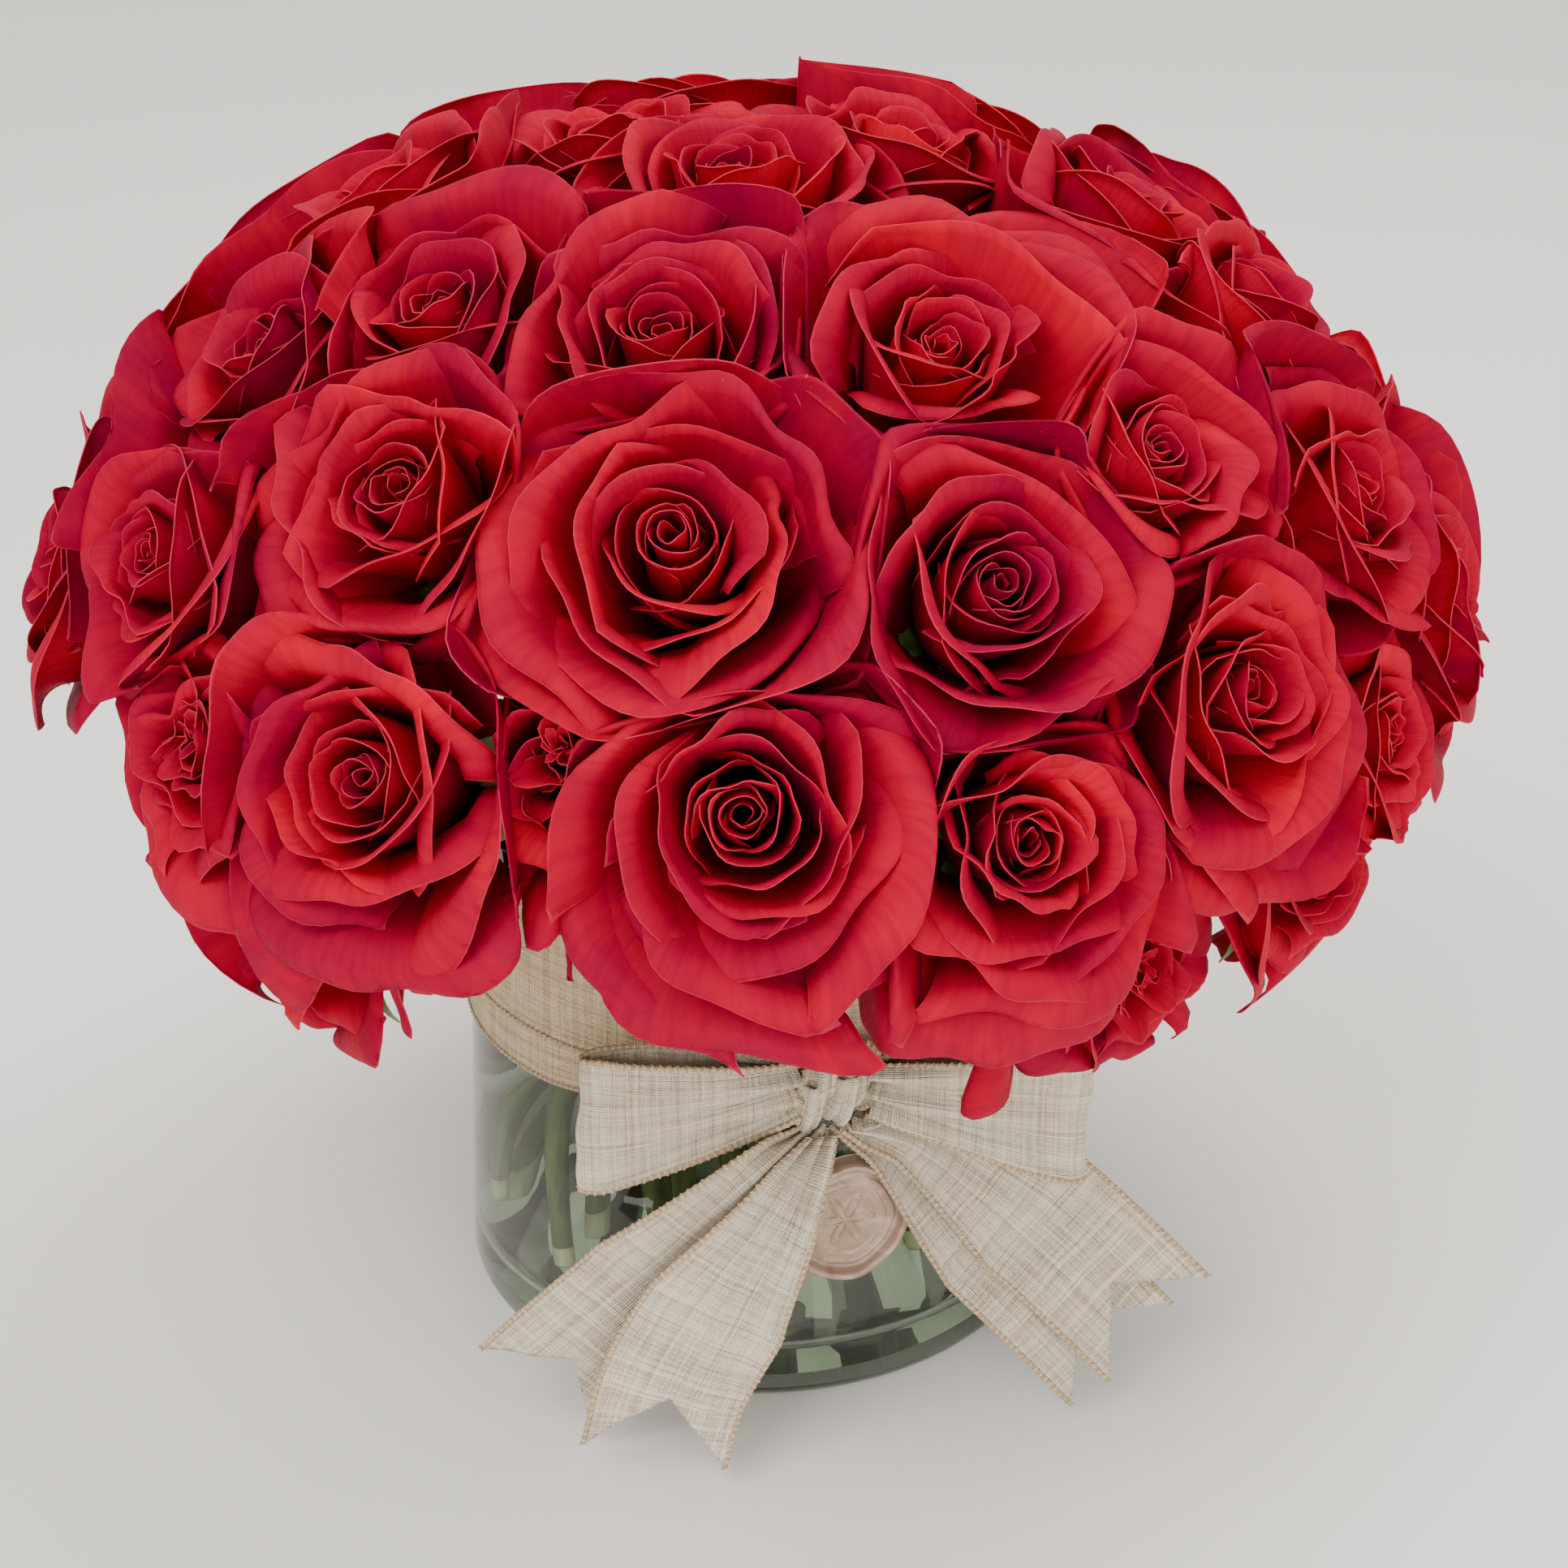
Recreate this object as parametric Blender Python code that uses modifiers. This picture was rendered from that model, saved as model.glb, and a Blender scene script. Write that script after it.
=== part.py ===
"""Roses in a glass vase: a dome of open roses whose stems stand in water, with a linen ribbon tied round
the neck in a bow and a round wax seal on the glass.

Metres, +Z up. The origin is the middle of the vase's foot, on the table. -Y is the front, where the bow is.
Each rose is one solid: bloom, hip and stem grew as one piece.
"""

import math
import random

import bmesh
import bpy
from mathutils import Matrix, Vector

MM = 0.001
CLEARANCE = 0.3 * MM  # left between pieces that touch

# Vase: a heavy-based cylinder that narrows a little to its mouth
VASE_HEIGHT = 158 * MM
VASE_FOOT_RADIUS = 87.5 * MM
VASE_MOUTH_RADIUS = 82.5 * MM
VASE_WALL = 4 * MM
VASE_FLOOR = 14 * MM
VASE_FOOT_ROUND = 10 * MM
VASE_INSIDE_ROUND = 12 * MM
VASE_SIDES = 32

# Water
WATER_LEVEL = 118 * MM

# Dome of blooms: a flattened ball that the faces of the blooms lie on
DOME_HALF_WIDTH = 195 * MM
DOME_HALF_HEIGHT = 131 * MM
DOME_MIDDLE = 61 * MM  # its middle above the vase's mouth
BLOOM_FAN_DROP = 8 * MM  # the blooms face away from a point this far under the mouth
BLOOM_DEPTH_SHARE = 0.6  # depth of a bloom as a share of its width
BLOOM_SPACING_SHARE = 0.99  # how much of the way to its neighbour a bloom may fill
BLOOM_SIDES = 10
LIP_SHARE = 0.87  # how far up its depth a bloom is widest

# Stems
STEM_DIAMETER = 6.5 * MM
HIP_DIAMETER = 12 * MM  # the green swelling under a bloom
STEM_WALL_GAP = 5 * MM  # between the outermost stems and the glass, at the mouth
STEM_TWIST = math.radians(28)  # how far the stems spiral between the mouth and their tips
TIP_CLEAR = 5 * MM  # lowest tip above the vase's floor
TIP_SPREAD = 18 * MM  # the stems aren't cut to one length
STEM_CURVE_POINTS = 5
STEM_BEND_DEPTH = 9 * MM  # the stems start to bend outward this far under the mouth
RIM_LIFT = 2 * STEM_DIAMETER  # how much the outermost stems rise to clear the rim

# Ribbon
RIBBON_WIDTH = 40 * MM
RIBBON_THICKNESS = 1.2 * MM
BAND_BOTTOM = 94 * MM
BAND_STEP = 14 * MM  # the second turn sits this much higher than the first
BOW_AZIMUTH = math.radians(12.6)  # to the right of the front
BOW_HEIGHT = 111 * MM
KNOT_SIZE = Vector((18, 16, 24)) * MM
SEAT = 0.4 * MM  # between the knot and what comes out of it
LOOP_LENGTH = 58 * MM
LOOP_BULGE = 9 * MM
LOOP_DROP = 9 * MM  # a loop's fold hangs this much lower than the knot
LOOP_OUT = {"left": 0, "right": 4 * MM}  # each loop's place at the knot, outward of its middle
LOOP_SWING = {"left": -8 * MM, "right": 12 * MM}  # how far each fold swings outward
NOTCH_DEPTH = 18 * MM

# Wax seal on the glass
SEAL_DIAMETER = 40 * MM
SEAL_THICKNESS = 5 * MM
SEAL_HEIGHT = 62 * MM
SEAL_AZIMUTH = math.radians(16.5)  # a little to the right of the bow
SEAL_SIDES = 24

# The roses ring by ring: polar angle from the top and azimuth from the front (degrees, + to the right), width
# of the bloom and how far it is tucked in behind its neighbours (millimetres)
ROSES = [
    # crown
    (12, -93, 72, 0),
    (9, -7, 80, 0),
    (12, 92, 74, 0),
    # high ring
    (24, -162, 84, 0),
    (31, -95, 78, 0),
    (34, -44, 74, 0),
    (33, -12, 82, 0),
    (35, 24, 84, 0),
    (30, 90, 80, 0),
    (28, 143, 84, 0),
    # shoulder ring
    (48, -179, 90, 0),
    (46, -146, 90, 0),
    (51, -114, 90, 0),
    (43, -63, 74, 0),
    (59, -56, 64, 0),
    (49, -33, 80, 0),
    (50, -6, 100, 0),
    (54, 20, 84, 0),
    (48, 40, 68, 0),
    (56, 62, 70, 0),
    (42, 79, 68, 0),
    (46, 117, 90, 0),
    (52, 149, 90, 0),
    # wide ring
    (70, -167, 88, 0),
    (70, -141, 88, 0),
    (75, -112, 88, 0),
    (66, -80, 78, 0),
    (70, -46, 62, 3),
    (68, -29, 82, 0),
    (65, -14, 54, 12),
    (68, 0, 92, 0),
    (71, 20, 78, 0),
    (65, 40, 78, 0),
    (73, 59, 58, 4),
    (69, 79, 82, 0),
    (68, 104, 88, 0),
    (68, 129, 88, 0),
    (70, 167, 88, 0),
    # hanging ring
    (88, -161, 78, 8),
    (88, -133, 78, 8),
    (88, -104, 78, 8),
    (88, -76, 78, 8),
    (88, -47, 54, 16),
    (91, 42, 54, 18),
    (83, 56, 58, 8),
    (88, 85, 78, 8),
    (88, 113, 78, 8),
    (88, 142, 78, 8),
    (88, 170, 78, 8),
]

# Where the ribbon tails run, from the knot to their ends: (right, outward, up) of the knot's middle, in
# millimetres. Each is a stiff wired ribbon that bows away from the glass.
TAILS = {
    "left_outer": [(-5, 1, -13), (-24, 12, -23), (-45, 10, -46), (-64, 3, -69), (-82, -6, -92)],
    "left_inner": [(-4, 6, -13), (-19, 17, -32), (-36, 20, -56), (-48, 20, -78), (-54, 20, -98)],
    "right_lower": [(4, -3, -13), (22, -7, -27), (43, -2.5, -50), (63, 6, -71), (81, 14, -91)],
    "right_upper": [(6, 1, -13), (26, -2, -22), (52, 4, -42), (71, 12, -60), (89, 20, -79)],
}
TAIL_START_WIDTH = 7 * MM

RED = (0.42, 0.004, 0.022, 1)
LINEN = (0.62, 0.5, 0.36, 1)
GLASS = (0.75, 0.85, 0.78, 1)
WATER = (0.6, 0.75, 0.66, 1)
WAX = (0.66, 0.5, 0.42, 1)


def vase_radius(height):
    """Outer radius of the vase's wall at a height."""
    return VASE_FOOT_RADIUS + (VASE_MOUTH_RADIUS - VASE_FOOT_RADIUS) * height / VASE_HEIGHT


def quarter_round(middle, radius, start, end, points=3):
    """Points of an arc in (radius, height), from one angle to another in degrees."""
    step = (end - start) / (points - 1)
    turns = [math.radians(start + step * i) for i in range(points)]
    return [(middle[0] + radius * math.cos(a), middle[1] + radius * math.sin(a)) for a in turns]


def material(name, colour, roughness, transmission=0.0):
    made = bpy.data.materials.new(name)
    made.use_nodes = True
    shader = made.node_tree.nodes["Principled BSDF"]
    shader.inputs["Base Color"].default_value = colour
    shader.inputs["Roughness"].default_value = roughness
    shader.inputs["Transmission Weight"].default_value = transmission
    made.diffuse_color = colour
    return made


def place(name, data, collection, surface=None):
    """A new object in a collection, with its material."""
    made = bpy.data.objects.new(name, data)
    collection.objects.link(made)
    if surface:
        data.materials.append(surface)
    return made


def turned(name, profile, sides, collection, surface, closed=False):
    """A profile of (radius, height) points, down its outer side, turned round Z."""
    mesh = bpy.data.meshes.new(name)
    edges = [(i, i + 1) for i in range(len(profile) - 1)]
    if closed:
        edges.append((len(profile) - 1, 0))
    mesh.from_pydata([(r, 0, z) for r, z in profile], edges, [])
    made = place(name, mesh, collection, surface)
    screw = made.modifiers.new("Turn", "SCREW")
    screw.axis = "Z"
    screw.steps = screw.render_steps = sides
    screw.use_merge_vertices = True
    screw.merge_threshold = 0.00001
    screw.use_smooth_shade = True
    return made


def hide(cutter):
    cutter.hide_render = True
    cutter.display_type = "WIRE"


def tube(name, points, radius, collection):
    """A closed six-sided tube along points, made as a curve and turned into a mesh."""
    curve = bpy.data.curves.new(name, "CURVE")
    curve.dimensions = "3D"
    curve.bevel_depth = radius
    curve.bevel_resolution = 1
    curve.use_fill_caps = True
    spline = curve.splines.new("POLY")
    spline.points.add(len(points) - 1)
    for knot, point in zip(spline.points, points):
        knot.co = (*point, 1)
    drawn = place(name + "_curve", curve, collection)
    bpy.context.view_layer.update()
    mesh = bpy.data.meshes.new_from_object(drawn.evaluated_get(bpy.context.evaluated_depsgraph_get()))
    welded = bmesh.new()
    welded.from_mesh(mesh)
    bmesh.ops.remove_doubles(welded, verts=welded.verts, dist=0.00001)
    welded.to_mesh(mesh)
    welded.free()
    bpy.data.objects.remove(drawn)
    return place(name, mesh, collection)


def boolean(made, operation, other):
    """Joins or cuts with an object or a collection of objects."""
    step = made.modifiers.new(operation.title(), "BOOLEAN")
    step.operation = operation
    step.solver = "EXACT"
    if isinstance(other, bpy.types.Collection):
        step.operand_type = "COLLECTION"
        step.collection = other
    else:
        step.object = other


def around(polar, azimuth, radius, middle):
    """A point round a middle on the vase's axis: polar angle from the top, azimuth from the front."""
    flat = radius * math.sin(polar)
    return Vector((flat * math.sin(azimuth), -flat * math.cos(azimuth), middle + radius * math.cos(polar)))


def dome_radius(polar):
    """How far the dome is from the middle of the vase's mouth, at an angle from straight up."""
    wide, high = math.sin(polar) / DOME_HALF_WIDTH, math.cos(polar) / DOME_HALF_HEIGHT
    lift = DOME_MIDDLE / DOME_HALF_HEIGHT
    square, mixed = wide**2 + high**2, high * lift
    return (mixed + math.sqrt(mixed**2 + square * (1 - lift**2))) / square


def bezier(a, b, c, d, count):
    """Points along a cubic curve, both ends included."""
    shares = [i / (count - 1) for i in range(count)]
    return [
        a * (1 - t) ** 3 + b * 3 * t * (1 - t) ** 2 + c * 3 * t * t * (1 - t) + d * t**3 for t in shares
    ]


# --- Vase and water --------------------------------------------------------------------------------------


def inside_profile(inset):
    """The vase's inside from the middle of the floor up the wall, moved inward by inset."""
    floor = VASE_FLOOR + inset
    corner = vase_radius(VASE_FLOOR) - VASE_WALL - VASE_INSIDE_ROUND
    turn = quarter_round((corner, floor + VASE_INSIDE_ROUND), VASE_INSIDE_ROUND - inset, -90, 0)
    return [(0, floor)] + [(r, z - inset) for r, z in turn]


def make_vase(collection):
    lip = 1.2 * MM
    inner = VASE_MOUTH_RADIUS - VASE_WALL
    rim = [
        (inner, VASE_HEIGHT - lip),
        (inner + lip, VASE_HEIGHT),
        (VASE_MOUTH_RADIUS - lip, VASE_HEIGHT),
        (vase_radius(VASE_HEIGHT - lip), VASE_HEIGHT - lip),
    ]
    foot_middle = (vase_radius(VASE_FOOT_ROUND) - VASE_FOOT_ROUND, VASE_FOOT_ROUND)
    foot = quarter_round(foot_middle, VASE_FOOT_ROUND, 0, -90)
    profile = inside_profile(0) + rim + foot + [(0, 0)]
    turned("vase", profile, VASE_SIDES, collection, material("vase_glass", GLASS, 0.03, 1.0))


def make_water(collection, stem_cutters):
    top = vase_radius(WATER_LEVEL) - VASE_WALL - CLEARANCE
    profile = inside_profile(CLEARANCE) + [(top, WATER_LEVEL), (0, WATER_LEVEL)]
    water = turned("water", profile[::-1], VASE_SIDES, collection, material("water", WATER, 0.02, 1.0))
    boolean(water, "DIFFERENCE", stem_cutters)


# --- Roses -----------------------------------------------------------------------------------------------


class Rose:
    """Where one rose stands: its bloom on the dome, its stem through the mouth, its cut tip in the water."""

    def __init__(self, number, polar, azimuth, width, tuck, tip_lift):
        self.name = f"rose_{number:02d}"
        self.polar = math.radians(polar)
        self.azimuth = math.radians(azimuth)
        self.width = width * MM
        self.depth = self.width * BLOOM_DEPTH_SHARE
        self.face = around(self.polar, self.azimuth, dome_radius(self.polar) - tuck * MM, VASE_HEIGHT)
        self.axis = (self.face - Vector((0, 0, VASE_HEIGHT - BLOOM_FAN_DROP))).normalized()
        self.base = self.face - self.axis * self.depth
        self.radius = self.width / 2
        self.tip_lift = tip_lift

    def lip_middle(self):
        """Middle of the bloom where it is widest."""
        return self.base + self.axis * self.depth * LIP_SHARE

    def stem_line(self, reach=0.0):
        """The stem's middle line from its tip up to the bloom, reach further at the tip."""
        inside = VASE_MOUTH_RADIUS - VASE_WALL - STEM_WALL_GAP - STEM_DIAMETER / 2
        spread = inside * self.polar / math.radians(91)
        bend_height = VASE_HEIGHT - STEM_BEND_DEPTH
        top = Vector((spread * math.sin(self.azimuth), -spread * math.cos(self.azimuth), bend_height))
        turned_by = self.azimuth + STEM_TWIST
        tip = Vector((spread * math.sin(turned_by), -spread * math.cos(turned_by), 0))
        tip.z = VASE_FLOOR + TIP_CLEAR + self.tip_lift
        along = (top - tip).normalized()
        pull = (self.base - top).length
        lift = Vector((0, 0, RIM_LIFT * math.sin(self.polar) ** 2))
        arrive = self.base - self.axis * pull * 0.4 + lift
        bend = bezier(top, top + along * pull * 0.5, arrive, self.base, STEM_CURVE_POINTS)
        return [tip - along * reach] + bend + [self.base + self.axis * self.depth * 0.3]


def share_space(roses):
    """Blooms that would touch a neighbour are made narrower, each by its share of the way between them."""
    for rose in roses:
        for other in roses:
            if other is rose:
                continue
            apart = (rose.lip_middle() - other.lip_middle()).length - CLEARANCE
            room = apart * BLOOM_SPACING_SHARE * rose.width / (rose.width + other.width)
            rose.radius = min(rose.radius, room)


def bloom_profile(rose):
    """Top middle, over the inner petals to the open lip, down the outer petals to the hip."""
    hip = HIP_DIAMETER / 2
    shares = [(0, 0.9), (0.22, 1), (0.42, 0.84), (0.72, 0.97), (1, LIP_SHARE), (0.84, 0.5), (0.46, 0.16)]
    profile = [(rose.radius * r, rose.depth * z) for r, z in shares]
    return profile + [(hip, 0), (hip * 0.6, -hip), (0, -hip)]


def make_rose(rose, collection, cutters, petals):
    bloom = turned(rose.name, bloom_profile(rose), BLOOM_SIDES, collection, petals)
    turn = rose.axis.to_track_quat("Z", "Y").to_matrix().to_4x4()
    bloom.matrix_world = Matrix.Translation(rose.base) @ turn
    stem = tube(rose.name + "_stem", rose.stem_line(), STEM_DIAMETER / 2, cutters)
    hide(stem)
    boolean(bloom, "UNION", stem)


# --- Ribbon ----------------------------------------------------------------------------------------------


def band_radius(height):
    """Inner radius of the first turn of ribbon."""
    return vase_radius(height) + CLEARANCE


def make_band(collection, linen):
    """Two turns of ribbon round the neck, the second a step higher and over the first."""
    low, step_up = BAND_BOTTOM, BAND_BOTTOM + BAND_STEP
    top = step_up + RIBBON_WIDTH
    one, two = RIBBON_THICKNESS, 2 * RIBBON_THICKNESS
    profile = [
        (band_radius(top), top),
        (band_radius(top) + two, top),
        (band_radius(step_up) + two, step_up),
        (band_radius(step_up) + one, step_up),
        (band_radius(low) + one, low),
        (band_radius(low), low),
    ]
    turned("ribbon_band", profile, VASE_SIDES, collection, linen, closed=True)


def bow_point(right, outward, up):
    """A point by the knot: to its right along the glass, outward from the vase, up."""
    side = Vector((math.cos(BOW_AZIMUTH), math.sin(BOW_AZIMUTH), 0))
    out = Vector((math.sin(BOW_AZIMUTH), -math.cos(BOW_AZIMUTH), 0))
    knot = band_radius(BOW_HEIGHT) + 2 * RIBBON_THICKNESS + SEAT + KNOT_SIZE.y / 2
    return out * (knot + outward) + side * right + Vector((0, 0, BOW_HEIGHT + up))


def make_knot(collection, linen):
    """The short length of ribbon wrapped over the middle of the bow."""
    mesh = bpy.data.meshes.new("bow_knot")
    shape = bmesh.new()
    bmesh.ops.create_cube(shape, size=1)
    bmesh.ops.scale(shape, vec=KNOT_SIZE, verts=shape.verts)
    shape.to_mesh(mesh)
    shape.free()
    knot = place("bow_knot", mesh, collection, linen)
    knot.location = bow_point(0, 0, 0)
    knot.rotation_euler.z = BOW_AZIMUTH
    edges = knot.modifiers.new("Round", "BEVEL")
    edges.width = KNOT_SIZE.y * 0.28
    edges.segments = 3


def through(points, count):
    """Points at even steps along a smooth curve (Catmull-Rom) through a few chosen ones."""
    ends = [points[0] * 2 - points[1]] + points + [points[-1] * 2 - points[-2]]
    fine = []
    for before, here, there, after in zip(ends, ends[1:], ends[2:], ends[3:]):
        for i in range(12):
            t = i / 12
            fine.append(
                (
                    here * 2
                    + (there - before) * t
                    + (before * 2 - here * 5 + there * 4 - after) * t * t
                    + (here * 3 - before - there * 3 + after) * t**3
                )
                / 2
            )
    fine.append(points[-1])
    along = [0.0]
    for a, b in zip(fine, fine[1:]):
        along.append(along[-1] + (b - a).length)
    picked = []
    for i in range(count):
        want = along[-1] * i / (count - 1)
        j = max(k for k in range(len(fine) - 1) if along[k] <= want)
        share = (want - along[j]) / (along[j + 1] - along[j])
        picked.append(fine[j].lerp(fine[j + 1], min(share, 1)))
    return picked


def strip(name, line, widths, across, collection, linen, notch=0.0):
    """A ribbon along a line, three vertices across each step, made solid. A notch cuts its far end in a V."""
    shape = bmesh.new()
    rows = []
    for i, (point, width, side) in enumerate(zip(line, widths, across)):
        middle = point
        if i == len(line) - 1 and notch:
            middle = point - (line[-1] - line[-2]).normalized() * notch
        places = [point - side * width / 2, middle, point + side * width / 2]
        rows.append([shape.verts.new(place_at) for place_at in places])
    for near, far in zip(rows, rows[1:]):
        for i in range(2):
            shape.faces.new((near[i], near[i + 1], far[i + 1], far[i]))
    mesh = bpy.data.meshes.new(name)
    shape.to_mesh(mesh)
    shape.free()
    made = place(name, mesh, collection, linen)
    thick = made.modifiers.new("Thickness", "SOLIDIFY")
    thick.thickness = RIBBON_THICKNESS
    thick.offset = 0
    return made


def make_tail(name, points, collection, linen):
    steps = 8
    chosen = [bow_point(*(value * MM for value in point)) for point in points]
    smooth = through(chosen, 40)
    length = sum((b - a).length for a, b in zip(smooth, smooth[1:]))
    notch = min(NOTCH_DEPTH, RIBBON_WIDTH * 0.45)
    whole = 1 - (notch + 6 * MM) / length  # the steps stop short of the notch, and then comes the end
    shares = [whole * i / (steps - 2) for i in range(steps - 1)] + [1]
    line = [smooth[round(share * (len(smooth) - 1))] for share in shares]
    line[0] = smooth[0]
    facing = bow_point(0, 1, 0.25) - bow_point(0, 0, 0)
    across, widths = [], []
    for i, share in enumerate(shares):
        run = line[min(i + 1, steps - 1)] - line[max(i - 1, 0)]
        across.append(run.cross(facing).normalized())
        widths.append(TAIL_START_WIDTH + (RIBBON_WIDTH - TAIL_START_WIDTH) * min(1, share / 0.5) ** 0.8)
    across[0] = bow_point(-1, 0, 0) - bow_point(0, 0, 0)
    strip("bow_tail_" + name, line, widths, across, collection, linen, notch)


def make_loop(side, collection, linen):
    """One loop of the bow: out along the front, round the fold and back behind, pinched at the knot."""
    sign = {"left": -1, "right": 1}[side]
    start = KNOT_SIZE.x / 2 + SEAT
    out = LOOP_OUT[side]
    swing = LOOP_SWING[side]
    turns = 13
    line, widths = [], []
    for i in range(turns):
        turn = math.pi * i / (turns - 1)
        reach = math.sin(turn) ** 0.75
        bulge = LOOP_BULGE * math.cos(turn) * (0.28 + 0.72 * math.sin(turn) ** 0.5)
        right = sign * (start + LOOP_LENGTH * reach)
        line.append(bow_point(right, out + bulge + swing * reach, -LOOP_DROP * reach))
        pinched = KNOT_SIZE.z * 0.6
        widths.append(pinched + (RIBBON_WIDTH - pinched) * min(1, reach * 1.15))
    upright = [Vector((0, 0, 1))] * turns
    strip("bow_loop_" + side, line, widths, upright, collection, linen)


# --- Wax seal --------------------------------------------------------------------------------------------


def make_seal(collection):
    """A pressed wax disc: a rounded rim round a flat middle with one raised ring."""
    radius = SEAL_DIAMETER / 2
    thick = SEAL_THICKNESS
    profile = [
        (0, thick * 0.55),
        (radius * 0.52, thick * 0.55),
        (radius * 0.56, thick * 0.7),
        (radius * 0.62, thick * 0.55),
        (radius * 0.76, thick * 0.55),
        (radius * 0.82, thick * 0.92),
        (radius * 0.9, thick),
        (radius * 0.98, thick * 0.75),
        (radius, thick * 0.4),
        (radius * 0.96, 0),
        (0, 0),
    ]
    seal = turned("wax_seal", profile, SEAL_SIDES, collection, material("seal_wax", WAX, 0.4))
    out = Vector((math.sin(SEAL_AZIMUTH), -math.cos(SEAL_AZIMUTH), 0))
    lean = (VASE_FOOT_RADIUS - VASE_MOUTH_RADIUS) / VASE_HEIGHT
    facing = (out + Vector((0, 0, lean))).normalized()
    seat = out * (vase_radius(SEAL_HEIGHT) + CLEARANCE) + Vector((0, 0, SEAL_HEIGHT))
    seal.matrix_world = Matrix.Translation(seat) @ facing.to_track_quat("Z", "Y").to_matrix().to_4x4()


# --- The whole arrangement -------------------------------------------------------------------------------


def main():
    for old in list(bpy.data.objects):
        bpy.data.objects.remove(old)
    model = bpy.data.collections.new("roses_in_vase")
    cutters = bpy.data.collections.new("stems_to_join")
    bores = bpy.data.collections.new("stem_bores_in_water")
    for collection in (model, cutters, bores):
        bpy.context.scene.collection.children.link(collection)

    dice = random.Random(7)
    roses = [Rose(i + 1, *spot, dice.random() * TIP_SPREAD) for i, spot in enumerate(ROSES)]
    share_space(roses)
    petals = material("rose_petals", RED, 0.55)
    for rose in roses:
        make_rose(rose, model, cutters, petals)
        bore = tube(rose.name + "_bore", rose.stem_line(CLEARANCE), STEM_DIAMETER / 2 + CLEARANCE, bores)
        hide(bore)

    make_vase(model)
    make_water(model, bores)
    linen = material("ribbon_linen", LINEN, 0.9)
    make_band(model, linen)
    make_knot(model, linen)
    for side in ("left", "right"):
        make_loop(side, model, linen)
    for name, points in TAILS.items():
        make_tail(name, points, model, linen)
    make_seal(model)


main()
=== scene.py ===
# %% [markdown]
# # Red roses in a glass vase
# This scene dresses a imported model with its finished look. The model already says where every rose, the
# vase, the ribbon and the wax seal are. Here each of those plain solids gets a detailed piece in its
# place: petals one by one, clear glass and water, woven ribbon with stitched edges, and pressed wax.

import math
import random

import bmesh
import bpy
import numpy as np
from mathutils import Matrix, Vector


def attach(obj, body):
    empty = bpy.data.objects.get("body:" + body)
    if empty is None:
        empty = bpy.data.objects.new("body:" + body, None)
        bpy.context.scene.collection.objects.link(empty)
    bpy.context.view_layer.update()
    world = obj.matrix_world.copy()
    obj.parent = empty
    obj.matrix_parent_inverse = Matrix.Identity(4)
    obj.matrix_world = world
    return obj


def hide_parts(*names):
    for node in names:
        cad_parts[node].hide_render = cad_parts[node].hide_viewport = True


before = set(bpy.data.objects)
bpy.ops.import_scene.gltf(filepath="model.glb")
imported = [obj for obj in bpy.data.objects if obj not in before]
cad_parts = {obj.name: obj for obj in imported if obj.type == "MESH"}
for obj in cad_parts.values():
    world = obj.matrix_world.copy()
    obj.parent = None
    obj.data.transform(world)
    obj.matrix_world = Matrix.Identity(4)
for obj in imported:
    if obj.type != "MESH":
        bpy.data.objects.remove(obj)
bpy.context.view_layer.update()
MM = 0.001

# %% [markdown]
# The sizes below are the ones the plain model was made with. The blooms sit on a dome, a flattened ball
# above the mouth of the vase. A rose's place is its angle from straight up, its angle round from the front
# (both seen from the middle of the mouth), the width of the bloom, and how far it is tucked in behind its
# neighbours.

# %% Sizes shared with the plain model
VASE_HEIGHT = 158 * MM
VASE_FOOT_RADIUS = 87.5 * MM
VASE_MOUTH_RADIUS = 82.5 * MM
VASE_WALL = 4 * MM
VASE_FLOOR = 14 * MM
VASE_FOOT_ROUND = 10 * MM
VASE_INSIDE_ROUND = 12 * MM
WATER_LEVEL = 118 * MM
DOME_HALF_WIDTH = 195 * MM
DOME_HALF_HEIGHT = 131 * MM
DOME_MIDDLE = 61 * MM
BLOOM_FAN_DROP = 8 * MM
STEM_DIAMETER = 6.5 * MM
STEM_WALL_GAP = 5 * MM
STEM_TWIST = math.radians(28)
STEM_BEND_DEPTH = 9 * MM
RIM_LIFT = 2 * STEM_DIAMETER
RIBBON_WIDTH = 40 * MM
BOW_AZIMUTH = math.radians(12.6)
BOW_HEIGHT = 111 * MM
SEAL_DIAMETER = 40 * MM
SEAL_HEIGHT = 62 * MM
SEAL_AZIMUTH = math.radians(16.5)

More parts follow.
